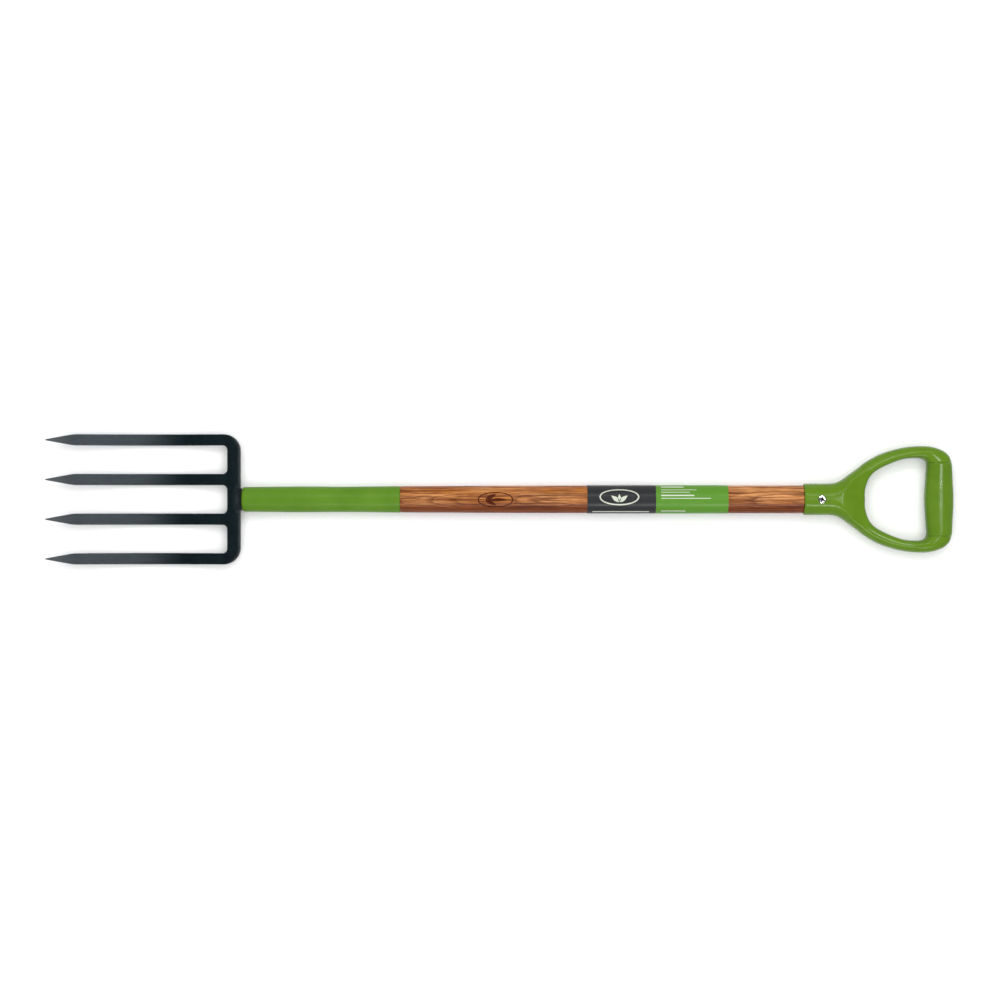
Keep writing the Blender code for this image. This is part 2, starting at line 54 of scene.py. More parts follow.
HEAD_LOW, HEAD_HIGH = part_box("fork_head")
FERRULE_LOW, FERRULE_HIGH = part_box("ferrule")
NAIL_LOW, NAIL_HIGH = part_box("ferrule_nail")
SHAFT_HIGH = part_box("wood_shaft")[1]
WRAP_LOW, WRAP_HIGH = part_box("wrap_label")
GRIP_LOW, GRIP_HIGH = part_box("d_grip_frame")
SLEEVE_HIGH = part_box("grip_sleeve")[1]
RIVET_LOW, RIVET_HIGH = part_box("grip_rivet")
WASHER_LOW, WASHER_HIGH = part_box("rivet_washer")

AXIS_Z = (GRIP_LOW.z + GRIP_HIGH.z) / 2
GAP = 0.0003
CUT_MARGIN = 0.005  # how far a cutter stands out of what it cuts

# Mesh
ROUND_STEPS = 120
PROFILE_STEPS = 14  # from one station of a turned piece to the next
SAME_PLACE = 1e-7  # points nearer than this are one point
WELD = 1e-6
OUTLINE_TOLERANCE = 0.00003  # a point this near an outline counts as on it
RING_CLEARANCE = 0.96  # share of its depth that a ring's point keeps
GRID_CLEARANCE = 0.5  # and of the spacing, for a grid's point

# Fork head
TIP_X = HEAD_LOW.x
HEAD_HALF_WIDTH = HEAD_HIGH.y
HEAD_SPACING = 0.0011  # of the points along the outline
HEAD_GRID = 0.0014
HEAD_RINGS = (0.00012, 0.0004, 0.0008, 0.0013, 0.002, 0.0029)
TINE_COUNT = 4
TINE_WIDTH = 0.0136
TINE_PITCH = (2 * HEAD_HALF_WIDTH - TINE_WIDTH) / (TINE_COUNT - 1)
TINE_YS = [TINE_PITCH * (index - (TINE_COUNT - 1) / 2) for index in range(TINE_COUNT)]
TINE_DISH_RADIUS = 0.33
TINE_LOW_X = -0.42
TINE_LOW_FRONT_Z = 0.0095
TINE_ROOT_DEPTH = 0.011
TINE_END_DEPTH = 0.0075
TINE_SIDE_SHARE = 0.55  # share of the depth that the tine's upright sides take
TINE_EDGE = 0.0011  # radius of the tines' front edges
TINE_BACK_EDGE = TINE_EDGE * 0.6
TINE_BACK_FLAT = 0.0015  # half width of the flat along the ridged back
POINT_LENGTH = 0.034
POINT_WIDTH = 0.0014
POINT_DEPTH = 0.0014
POINT_ROUND = POINT_WIDTH * 0.45
POINT_EDGE_SHARE = 0.45  # share of its radius that an edge keeps at the tip
POINT_FLANK_SHARE = 0.5  # least share of the half width on each flank
SHOULDER_RADIUS = 0.06  # where a tine's side turns in to its point
CROSSBAR_BACK_X = -0.3142
CROSSBAR_WIDTH = 0.0155
CROSSBAR_DEPTH = 0.0164
CROSSBAR_FRONT_Z = 0.0223
CROSSBAR_EDGE = 0.0026
CROSSBAR_BEND = 0.003  # between the tines' dished front and the crossbar's flat one
CORNER_RADIUS = 0.02
ROOT_FILLET = 0.0055
ROOT_X = CROSSBAR_BACK_X - CROSSBAR_WIDTH
ROOT_LOW_X = ROOT_X - 0.01  # from here a tine turns into the crossbar
ROOT_HIGH_X = ROOT_X + 0.005
EDGE_LOW_X = ROOT_X + 0.002  # and from here, the radius of its edges
EDGE_HIGH_X = CROSSBAR_BACK_X - 0.003
NECK_FACE_X = FERRULE_LOW.x - GAP
NECK_LENGTH = 0.014
NECK_HALF_WIDTH = 0.0139
NECK_ROUND_HALF_WIDTH = NECK_HALF_WIDTH + 0.00005
NECK_HALF_DEPTH = 0.0128
NECK_START_HALF_WIDTH = 0.0185  # of the swelling, where it starts on the crossbar
NECK_START_HALF_DEPTH = 0.004
NECK_START_Z = 0.0141
NECK_START_POWER = 3.6  # of the section's superellipse: nearly square
NECK_END_POWER = 2.1  # nearly round
NECK_FILLET = 0.0035
NECK_REACH = NECK_LENGTH + 0.004  # from its face to the end of its fillet
NECK_WALL = 0.0001  # how far the crossbar's back edge leans below the neck
NECK_WALL_START = 0.00001
NECK_SIDE_POINTS = 4
NECK_FACE_POINTS = 41
HEAD_SHARP_DEGREES = 60.0
TANG_OVERLAP = 0.004  # how far the tang starts inside the neck
TANG_ROOT_RADIUS = 0.008
TANG_END_RADIUS = 0.004

# Ferrule
FERRULE_WALL = 0.0014
FERRULE_CORNER = 0.005
FERRULE_STATIONS = (
    (FERRULE_HIGH.x, 0.0161), (-0.188, 0.01535), (-0.245, 0.0156), (-0.3, 0.015),
)
ROLLED_EDGE = 0.0004
NAIL_X = (NAIL_LOW.x + NAIL_HIGH.x) / 2
NAIL_RADIUS = 0.0016
NAIL_POINT_LENGTH = 0.003
NAIL_HEAD_HEIGHT = 0.0012
NAIL_HEAD = ((0.0012, 0.0031), (0.001, 0.0034), (0.0005, 0.0032), (0.0001, 0.002), (0.0, 0.0))
NAIL_HOLE_RADIUS = 0.0019
NAIL_HOLE_TOP_Z = 0.015

# Shaft
SHAFT_STATIONS = (
    (0.3679, 0.0168), (0.2, 0.0167), (0.026, 0.0165), (-0.09, 0.016), (-0.1199, 0.0158),
)
SHOULDER_CHAMFER = 0.0004
TENON_RADIUS = 0.0149
TENON_CHAMFER = 0.001
TENON_END_X = SHAFT_HIGH.x
NOSE_LENGTH = 0.0045  # of the chamfer on the shaft's end in the ferrule
NOSE_CHAMFER = 0.003
RIVET_HOLE_RADIUS = 0.0033
RIVET_HOLE_TOP_Z = 0.04

# Wrap
WRAP_RADIUS = WRAP_HIGH.y
WRAP_THICKNESS = 0.00025
WRAP_SPLIT_X = WRAP_LOW.x + 0.0828
WRAP_LAP = math.radians(14)  # how far the film's end laps over its start, at the back
WRAP_ROWS = 60
FILM_THICKNESS = WRAP_THICKNESS * 0.42
FILM_RISE = FILM_THICKNESS * 1.15  # where the film's end lies on its start
FILM_RADIUS = WRAP_RADIUS - WRAP_THICKNESS * 0.58  # of the film's outside

# Prints and marks, laid out in plan: x, and the way round the shaft from its front line
PRINT_SPACING = 0.0005
PRINT_GRID = 0.0008
PRINT_RINGS = (0.0004,)
INK_THICKNESS = 0.00003
BADGE_X = WRAP_LOW.x + 0.0385
BADGE_ALONG = 0.003
BADGE_OVALS = ((0.024, 0.0104), (0.0224, 0.0088))
SPROUT_ALONG = -0.003
SPROUT_LEAVES = ((38, 0.0125), (142, 0.0125), (90, 0.0095))  # turn in degrees, length
SPROUT_LEAF_SHAPE = 0.4  # width by length
LONG_BAR = (WRAP_LOW.x + 0.006, WRAP_SPLIT_X - 0.008, -0.018, 0.002)
BARS_X = WRAP_SPLIT_X + 0.006
BARS = (  # place round the shaft, length, height
    (0.018, 0.028, 0.0022),
    (0.0125, 0.043, 0.0009),
    (0.009, 0.035, 0.0009),
    (0.0048, 0.04, 0.0016),
    (0.0012, 0.06, 0.0009),
    (-0.0165, 0.03, 0.0018),
)
BURN_X = -0.0048
BURN_ALONG = -0.0004
BURN_OVALS = ((0.0215, 0.0098), (0.02, 0.0084))
BURN_LEAVES = (  # stem's place from the middle, length, width, turn in degrees
    (-0.012, 0.015, 0.005, 28),
    (-0.012, 0.015, 0.005, -28),
    (-0.007, 0.022, 0.004, 0),
)
BURN_RADIUS = 0.01646
BURN_THICKNESS = 0.00006
BURN_CHAR = 0.94

# Hand grip
SOCKET_X = GRIP_LOW.x
SOCKET_RADIUS = AXIS_Z
SOCKET_MOUTH_RADIUS = SOCKET_RADIUS - 0.0008
SOCKET_MOUTH = 0.0012  # length of the socket's rounded mouth
SOCKET_END_X = 0.4
SOCKET_SIDE = (
    (SOCKET_X, SOCKET_MOUTH_RADIUS),
    (SOCKET_X + 0.0004, 0.0187),
    (SOCKET_X + SOCKET_MOUTH, SOCKET_RADIUS),
)
GRIP_SPACING = 0.001
GRIP_GRID = 0.0012
GRIP_RINGS = (0.00012, 0.0004, 0.0009, 0.0016, 0.0025, 0.0036, 0.005)
FLARE_DEPTH_XS = (0.412, 0.45)  # between these the socket's depth turns into the arms'
FLARE_ROUND_XS = (0.402, 0.432)  # and between these, the radius of its sides
ARM_HALF_DEPTH = 0.0125
ARM_ROUND = 0.0085
BAR_XS = (0.5, 0.526)  # between these the arms turn into the bar
BAR_X = 0.5325
BAR_HALF_DEPTH = 0.015
BAR_POWER = 2.3  # of the bar's section, a superellipse
WEB_HALF_DEPTH = 0.011  # at the edge of the opening
WEB_CREASE = 0.0009
FACET_SLOPE = 0.3
OPENING_EDGE = 0.003
OPENING_EDGE_POWER = 0.8
CORE_RADIUS = 0.0095
CORE_HALF_LENGTH = 0.052
CORE_CUT_HALF_LENGTH = 0.06
SEAM_Y = SLEEVE_HIGH.y + GAP
SEAM_WIDTH = 0.0005
SEAM_DEPTH = 0.0003
GRIP_OUTLINE = (
    (0.399, 0.019), (0.4065, 0.02), (0.4127, 0.0225), (0.4188, 0.0267), (0.4248, 0.0313),
    (0.434, 0.0379), (0.443, 0.0448), (0.4612, 0.0547), (0.4854, 0.062), (0.5096, 0.0646),
    (0.528, 0.0625), (0.5415, 0.0558), (0.5475, 0.0448), (0.549, 0.024), (0.55, 0.0),
)
GRIP_OPENING = (
    (0.4425, 0.0), (0.4432, 0.0135), (0.4491, 0.0275), (0.4612, 0.0373), (0.4854, 0.0475),
    (0.503, 0.0498), (0.511, 0.0491), (0.5158, 0.0464), (0.5172, 0.041), (0.5163, 0.029),
    (0.5147, 0.0),
)

# Rivet and washer, as (height, radius) profiles
RIVET_X = (RIVET_LOW.x + RIVET_HIGH.x) / 2
RIVET_LIP = 0.0007  # radius of the rolled lip round the rivet's mouth
RIVET_MOUTH_RADIUS = 0.0027
RIVET_HEAD = ((-0.0001, 0.0036), (-0.0004, 0.0043), (-0.0008, 0.0045), (-0.0011, 0.0045), (-0.0011, 0.0029))
RIVET_CLINCH = (
    (0.0009, 0.0029), (0.0009, 0.0044), (0.0005, 0.0045), (0.0001, 0.004), (0.0, 0.0033),
    (0.0002, 0.0023), (0.0008, 0.002),
)
RECESS_RADIUS = 0.0056
RECESS_Z = 0.0363
BACK_RECESS_RADIUS = 0.0067
BACK_RECESS_Z = 0.0026
CUTTER_TOP_Z = 0.045
WASHER_RADIUS = 0.0062
WASHER_HOLE_RADIUS = 0.0032
WASHER_EDGE = 0.0001

# Finish: where along the fork the forging is painted lighter as a painted reflection, how the shaft's wood
# grew, and which side of the shaft gets painted shade
# Painted reflection: between these x the tines' colour gets lighter, and again towards the points, standing
# in for the lamps mirrored in their dished faces
TINE_PAINTED_SHEEN_XS = (-0.38, -0.446)
POINT_PAINTED_SHEEN_XS = (-0.508, -0.552)
RING_WIDTH = 0.0011
PITH_Y = 0.002
PITH_Y_SLOPE = 0.01
PITH_Z = AXIS_Z - 0.026
PITH_Z_SLOPE = -0.016
# Painted shade: between these y the wood darkens towards the -Y side, away from the key light
PAINTED_SHADE_YS = (0.004, -0.011)

# Camera
PICTURE_WIDTH = 1.2117  # how much of the axis' plane the picture takes in
CAMERA_DISTANCE = 3.0
CAMERA_AIM = (0.0007, -0.0008)
SENSOR_WIDTH = 36.0

# Stage
FLOOR_HALF = 6.0
CEILING_RANGE = (("From Min", 0.92), ("From Max", 0.55), ("To Min", 0.05), ("To Max", 0.75))
LAMPS = (  # name, place, target, (length, width), power, lights matt surfaces, is mirrored in glossy ones
    ("overhead", (0.0, 0.0, 3.6), (0.0, 0.0, 0.0), (4.0, 4.0), 155.0, True, False),
    ("key", (0.3, 1.1, 1.9), (0.25, 0.05, 0.0), (1.5, 0.5), 9.0, True, True),
    ("upper_strip", (0.3, 1.3, 1.9), (0.25, 0.05, 0.0), (1.8, 0.1), 20.0, False, True),
    ("lower_strip", (0.45, -1.75, 1.7), (0.3, 0.0, 0.0), (1.5, 0.14), 60.0, False, True),
    ("bar_strip", (0.87, 0.13, 1.9), (0.53, 0.08, 0.0), (0.05, 0.14), 15.0, False, True),
)


# ---- numbers over a plan ----


def blend(low, high, share):
    return low + (high - low) * share


def smooth_step(low, high, values):
    share = np.clip((values - low) / (high - low), 0.0, 1.0)
    return share * share * (3 - 2 * share)


def smooth_max(first, second, radius):
    """The higher of two surfaces, with a fillet where they cross."""
    near = np.clip(1 - np.abs(first - second) / radius, 0.0, 1.0)
    return np.maximum(first, second) + radius * near * near / 4


def smooth_min(first, second, radius):
    return -smooth_max(-first, -second, radius)


def edge_drop(distance, radius):
    """How far a rounded edge lies below its face, at a distance in from the outline."""
    inward = radius - np.minimum(distance, radius)
    return radius - np.sqrt(np.maximum(radius * radius - inward * inward, 0.0))


def resample(points, spacing, closed=True):
    """Points at an even spacing along a polyline, which keep its first point."""
    points = np.array(points, float)
    if closed:
        points = np.vstack([points, points[:1]])
    lengths = np.concatenate([[0.0], np.cumsum(np.linalg.norm(np.diff(points, axis=0), axis=1))])
    count = max(int(round(lengths[-1] / spacing)), 2)
    places = np.linspace(0.0, lengths[-1], count + 1)
    if closed:
        places = places[:-1]
    return np.stack([np.interp(places, lengths, points[:, axis]) for axis in (0, 1)], axis=1)


def beyond(end, neighbour):
    """The point past the end of a curve: the neighbour's mirror image if the end is on the line y = 0."""
    return neighbour * (1, -1) if end[1] == 0.0 else 2 * end - neighbour


def spline(points, steps=12):
    """A smooth open curve through points (Catmull-Rom). It crosses the line y = 0 square to it."""
    points = np.array(points, float)
    padded = np.vstack([beyond(points[0], points[1]), points, beyond(points[-1], points[-2])])
    share = np.linspace(0.0, 1.0, steps, endpoint=False)[:, None]
    curve = []
    for p0, p1, p2, p3 in zip(padded, padded[1:], padded[2:], padded[3:]):
        tangent_1 = (p2 - p0) / 2
        tangent_2 = (p3 - p1) / 2
        cubic = 2 * p1 - 2 * p2 + tangent_1 + tangent_2
        square = 3 * p2 - 3 * p1 - 2 * tangent_1 - tangent_2
        curve.append(p1 + share * (tangent_1 + share * (square + share * cubic)))
    return np.vstack([*curve, points[-1:]])


def mirrored(half):
    """A closed loop from its half with y >= 0, whose two ends are on the line y = 0."""
    far_side = half[::-1] * (1, -1)
    loop = np.vstack([half, far_side])
    steps = np.linalg.norm(loop - np.roll(loop, 1, axis=0), axis=1)
    return loop[steps > SAME_PLACE]


def rounded_loop(corners, steps=8):
    """A closed loop through (x, y, radius) corners, each turned with an arc of its radius."""
    loop = []
    count = len(corners)
    for index, (x, y, radius) in enumerate(corners):
        corner = Vector((x, y))
        before = (Vector(corners[index - 1][:2]) - corner).normalized()
        after = (Vector(corners[(index + 1) % count][:2]) - corner).normalized()
        half_angle = before.angle(after) / 2
        setback = radius / math.tan(half_angle)
        centre = corner + (before + after).normalized() * (radius / math.sin(half_angle))
        start = corner + before * setback - centre
        end = corner + after * setback - centre
        turns = range(steps + 1) if radius else (0,)
        loop += [centre + start.lerp(end, step / steps).normalized() * radius for step in turns]
    return np.array(loop)


def distance_to(loop, points):
    """The distance from each point to a closed loop, found as if each of its sides were a wall."""
    count = len(loop)
    corners = [(x, y, height) for height in (-1.0, 1.0) for x, y in loop]
    walls = []
    for index in range(count):
        after = (index + 1) % count
        walls.append((index, after, after + count, index + count))
    tree = BVHTree.FromPolygons(corners, walls)
    reach = np.array([tree.find_nearest((x, y, 0.0))[3] for x, y in points])
    return np.maximum(reach - OUTLINE_TOLERANCE, 0.0)


def inside(loops, points):
    """True for each point that the loops enclose an odd number of times."""
    odd = np.zeros(len(points), bool)
    for loop in loops:
        for (x0, y0), (x1, y1) in zip(loop, np.roll(loop, -1, axis=0)):
            if y0 == y1:
                continue
            crosses = (points[:, 1] < y0) != (points[:, 1] < y1)
            odd ^= crosses & (points[:, 0] < x0 + (points[:, 1] - y0) * (x1 - x0) / (y1 - y0))
    return odd


def inner_points(loops, spacing, ring_depths):
    """Points inside a plan: rings along its outline, then a grid."""
    rings = []
    for depth in ring_depths:
        for loop in loops:
            along = np.roll(loop, -1, axis=0) - np.roll(loop, 1, axis=0)
            normal = np.stack([-along[:, 1], along[:, 0]], axis=1)
            normal /= np.linalg.norm(normal, axis=1)[:, None]
            for side in (1, -1):
                ring = loop + side * depth * normal
                ring = ring[inside(loops, ring)]
                reach = np.min([distance_to(other, ring) for other in loops], axis=0)
                rings.append(ring[reach > depth * RING_CLEARANCE])
    low = np.min([loop.min(axis=0) for loop in loops], axis=0)
    high = np.max([loop.max(axis=0) for loop in loops], axis=0)
    xs = np.arange(low[0], high[0], spacing)
    ys = np.arange(low[1] + spacing / 2, high[1], spacing)
    grid = np.stack(np.meshgrid(xs, ys), axis=2).reshape(-1, 2)
    grid = grid[inside(loops, grid)]
    reach = np.min([distance_to(loop, grid) for loop in loops], axis=0)
    rings.append(grid[reach > ring_depths[-1] + spacing * GRID_CLEARANCE])
    return np.vstack(rings)


def plan_mesh(loops, spacing, ring_depths, creases=()):
    """Fills a plan with triangles, some along its creases. Gives its points and the triangles' indices."""
    coords = []
    edges = []
    for loop in loops:
        first = len(coords)
        coords += list(loop)
        edges += [(first + index, first + (index + 1) % len(loop)) for index in range(len(loop))]
    for crease in creases:
        first = len(coords)
        coords += list(crease)
        edges += [(first + index, first + index + 1) for index in range(len(crease) - 1)]
    coords += list(inner_points(loops, spacing, ring_depths))
    made = geometry.delaunay_2d_cdt([Vector(point) for point in coords], edges, [], 0, SAME_PLACE, False)
    points = np.array([tuple(point) for point in made[0]])
    triangles = np.array(made[2])
    middles = points[triangles].mean(axis=1)
    return points, triangles[inside(loops, middles)]


# ---- bodies ----


def placed(name, data):
    """A new object in the scene."""
    obj = bpy.data.objects.new(name, data)
    bpy.context.scene.collection.objects.link(obj)
    return obj


def new_piece(name, vertices, faces):
    """A smooth-shaded object from vertices and faces, welded and turned outwards."""
    mesh = bpy.data.meshes.new(name)
    mesh.from_pydata([tuple(vertex) for vertex in vertices], [], [tuple(map(int, face)) for face in faces])
    bm = bmesh.new()
    bm.from_mesh(mesh)
    bmesh.ops.remove_doubles(bm, verts=bm.verts, dist=WELD)
    bmesh.ops.dissolve_degenerate(bm, edges=bm.edges, dist=SAME_PLACE)
    bmesh.ops.recalc_face_normals(bm, faces=bm.faces)
    bm.to_mesh(mesh)
    bm.free()
    mesh.shade_smooth()
    return placed(name, mesh)


def relief(name, plan, surfaces):
    """A closed body over a plan. surfaces gives the places in space of plan points, in front and behind."""
    points, triangles = plan
    count = len(points)
    sides = set()
    for a, b, c in triangles:
        sides.update(((a, b), (b, c), (c, a)))
    faces = [tuple(triangle) for triangle in triangles]
    faces += [(c + count, b + count, a + count) for a, b, c in triangles]
    faces += [(b, a, a + count, b + count) for a, b in sides if (b, a) not in sides]
    return new_piece(name, np.vstack(surfaces(points)), faces)


def turned(name, profile, centre=(0.0, 0.0, AXIS_Z), along_shaft=True, closed=True, steps=ROUND_STEPS):
    """Turns a profile of (place along the axis, radius) points about the shaft or about an upright axis.

    A closed profile is a ring's section. An open one starts and ends on the axis.
    """
    profile = np.array(profile, float)
    angles = np.arange(steps) * 2 * math.pi / steps
    places = np.repeat(profile[:, 0], steps)
    radii = np.repeat(profile[:, 1], steps)
    across = radii * np.tile(np.sin(angles), len(profile))
    up = radii * np.tile(np.cos(angles), len(profile))
    columns = (places, across, up) if along_shaft else (up, across, places)
    vertices = np.stack(columns, axis=1) + np.array(centre)
    faces = []
    rows = len(profile)
    for row in range(rows if closed else rows - 1):
        this = row * steps
        following = (row + 1) % rows * steps
        for step in range(steps):
            after = (step + 1) % steps
            faces.append((this + step, this + after, following + after, following + step))
    return new_piece(name, vertices, faces)


def arc(centre, radius, start_degrees, end_degrees, steps):
    angles = np.radians(np.linspace(start_degrees, end_degrees, steps + 1))
    x, y = centre
    return [(x + radius * math.cos(angle), y + radius * math.sin(angle)) for angle in angles]


def rod(name, start, end, radius, end_radius=None, sides=64):
    """A helper for cutting and joining: a straight round or square rod, which may taper."""
    start = Vector(start)
    end = Vector(end)
    along = end - start
    far_radius = radius if end_radius is None else end_radius
    bm = bmesh.new()
    bmesh.ops.create_cone(
        bm, cap_ends=True, segments=sides, radius1=radius, radius2=far_radius, depth=along.length
    )
    bmesh.ops.rotate(bm, verts=bm.verts, matrix=along.to_track_quat("Z", "Y").to_matrix())
    bmesh.ops.translate(bm, verts=bm.verts, vec=(start + end) / 2)
    mesh = bpy.data.meshes.new(name)
    bm.to_mesh(mesh)
    bm.free()
    return placed(name, mesh)


def combine(piece, operation, *tools):
    """Cuts tools out of a piece, or joins them to it, and removes the tools."""
    for tool in tools:
        modifier = piece.modifiers.new("combine", "BOOLEAN")
        modifier.operation = operation
        modifier.object = tool
        bpy.context.view_layer.update()
        piece.data = bpy.data.meshes.new_from_object(
            piece.evaluated_get(bpy.context.evaluated_depsgraph_get())
        )
        piece.modifiers.clear()
        bpy.data.objects.remove(tool)
    piece.data.name = piece.name


def settle(piece, node, material, sharp_degrees=40.0):
    """Gives a piece its material, shades it smooth with sharp edges past an angle, hides the CAD node that
    it stands for and hangs it from the root.
    """
    piece.data.materials.clear()
    piece.data.materials.append(material)
    piece.data.shade_smooth()
    piece.data.set_sharp_from_angle(angle=math.radians(sharp_degrees))
    if node:
        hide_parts(node)
    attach(piece, "root")


# ---- materials ----


class Surface:
    """A material's node tree, with a short way to add nodes to it."""

    def __init__(self, name, roughness=0.5, metallic=0.0, specular=0.5, ior=1.5):
        self.material = bpy.data.materials.new(name)
        self.material.use_nodes = True
        self.tree = self.material.node_tree
        self.shader = self.tree.nodes["Principled BSDF"]
        inputs = {"Roughness": roughness, "Metallic": metallic, "Specular IOR Level": specular, "IOR": ior}
        for socket, value in inputs.items():
            self.shader.inputs[socket].default_value = value
        self.place = self.add("ShaderNodeTexCoord").outputs["Object"]

    def add(self, kind, inputs=(), **settings):
        node = self.tree.nodes.new(kind)
        for setting, value in settings.items():
            setattr(node, setting, value)
        for socket, value in dict(inputs).items():
            if isinstance(value, bpy.types.NodeSocket):
                self.tree.links.new(value, node.inputs[socket])
            else:
                node.inputs[socket].default_value = value
        return node

    def math(self, operation, first, second=0.0, third=0.0):
        return self.add("ShaderNodeMath", {0: first, 1: second, 2: third}, operation=operation).outputs[0]

    def axis(self, name):
        return self.add("ShaderNodeSeparateXYZ", {0: self.place}).outputs[name]

    def noise(self, scale, detail=3.0, roughness=0.5, along=1.0, across=1.0, distortion=0.0):
        """Noise whose marks get longer along the fork as along gets smaller."""
        stretch = {0: self.place, 1: (along, across, across)}
        place = self.add("ShaderNodeVectorMath", stretch, operation="MULTIPLY").outputs[0]
        inputs = {"Vector": place, "Scale": scale, "Detail": detail, "Roughness": roughness}
        inputs["Distortion"] = distortion
        return self.add("ShaderNodeTexNoise", inputs).outputs["Fac"]

    def range(self, value, low, high, to_low=0.0, to_high=1.0):
        inputs = {"Value": value, "From Min": low, "From Max": high, "To Min": to_low, "To Max": to_high}
        return self.add("ShaderNodeMapRange", inputs, interpolation_type="SMOOTHSTEP").outputs[0]

    def mix(self, share, first, second, blend_type="MIX"):
        colours = [(*value, 1.0) if isinstance(value, tuple) else value for value in (first, second)]
        inputs = {0: share, 6: colours[0], 7: colours[1]}
        return self.add("ShaderNodeMix", inputs, data_type="RGBA", blend_type=blend_type).outputs[2]

    def colour(self, value):
        self.tree.links.new(value, self.shader.inputs["Base Color"])

    def rough(self, value):
        self.tree.links.new(value, self.shader.inputs["Roughness"])

    def bump(self, *heights):
        """Stacks bumps, each a (height, distance in metres) pair."""
        normal = None
        for height, distance in heights:
            inputs = {"Height": height, "Distance": distance}
            if normal is not None:
                inputs["Normal"] = normal
            normal = self.add("ShaderNodeBump", inputs).outputs[0]
        self.tree.links.new(normal, self.shader.inputs["Normal"])


def forged_steel():
    """Blue-black lacquer over a forging, brushed along the tines, with a painted reflection that makes them
    lighter towards their points.
    """
    look = Surface("forged_steel", specular=0.32, ior=1.36)
    clouds = look.noise(90.0, detail=4.0)
    scale_marks = look.noise(420.0, detail=5.0, roughness=0.65)
    brushing = look.noise(900.0, detail=2.0, along=0.04)
    x = look.axis("X")
    lacquer = look.range(clouds, 0.35, 0.65)
    colour = look.mix(lacquer, (0.0008, 0.0046, 0.0062), (0.0018, 0.0072, 0.0096))
    colour = look.mix(look.range(scale_marks, 0.55, 0.75, 0.0, 0.5), colour, (0.006, 0.01, 0.012))
    # Painted reflection: lighter colour along the outer tines and at the points, streaked along the
    # brushing
    sheen_streaks = look.range(brushing, 0.3, 0.7, 0.75, 1.0)
    tine_sheen = look.math("MULTIPLY", look.range(x, *TINE_PAINTED_SHEEN_XS), sheen_streaks)
    colour = look.mix(tine_sheen, colour, (0.038, 0.047, 0.054))
    point_sheen = look.math("MULTIPLY", look.range(x, *POINT_PAINTED_SHEEN_XS, 0.0, 0.8), sheen_streaks)
    colour = look.mix(point_sheen, colour, (0.085, 0.094, 0.1))
    look.colour(colour)
    look.rough(look.range(scale_marks, 0.3, 0.7, 0.3, 0.42))
    look.bump((scale_marks, 0.00012), (clouds, 0.0003), (brushing, 0.00004))
    return look.material


def powder_coat():
    """Semi-gloss green powder coat with its orange peel."""
    look = Surface("green_powder_coat", specular=0.1, ior=1.42)
    peel = look.noise(750.0, detail=1.0)
    clouds = look.noise(35.0)
    scuffs = look.noise(260.0, detail=4.0, roughness=0.7, along=0.12)
    colour = look.mix(look.range(clouds, 0.3, 0.7), (0.08, 0.184, 0.012), (0.094, 0.206, 0.015))
    colour = look.mix(look.range(scuffs, 0.66, 0.8, 0.0, 0.35), colour, (0.12, 0.22, 0.035))
    look.colour(colour)
    look.rough(look.range(scuffs, 0.35, 0.75, 0.3, 0.42))
    look.bump((peel, 0.00006), (clouds, 0.0003))
    return look.material


def moulded_plastic(name, light, dark, low_rough, high_rough, texture_scale, texture_depth):
    """Moulded green plastic, with faint flow clouds, a mould texture and hair scratches."""
    look = Surface(name, specular=0.1, ior=1.42)
    clouds = look.noise(40.0, distortion=0.4)
    texture = look.noise(texture_scale, detail=2.0, roughness=0.6)
    scratches = look.noise(900.0, roughness=0.6, along=0.08)
    colour = look.mix(look.range(clouds, 0.3, 0.7), dark, light)
    marks = look.range(scratches, 0.68, 0.78, 0.0, 0.25)
    look.colour(look.mix(marks, colour, (0.14, 0.25, 0.04)))
    look.rough(look.range(texture, 0.3, 0.7, low_rough, high_rough))
    look.bump((texture, texture_depth), (clouds, 0.0004))
    return look.material


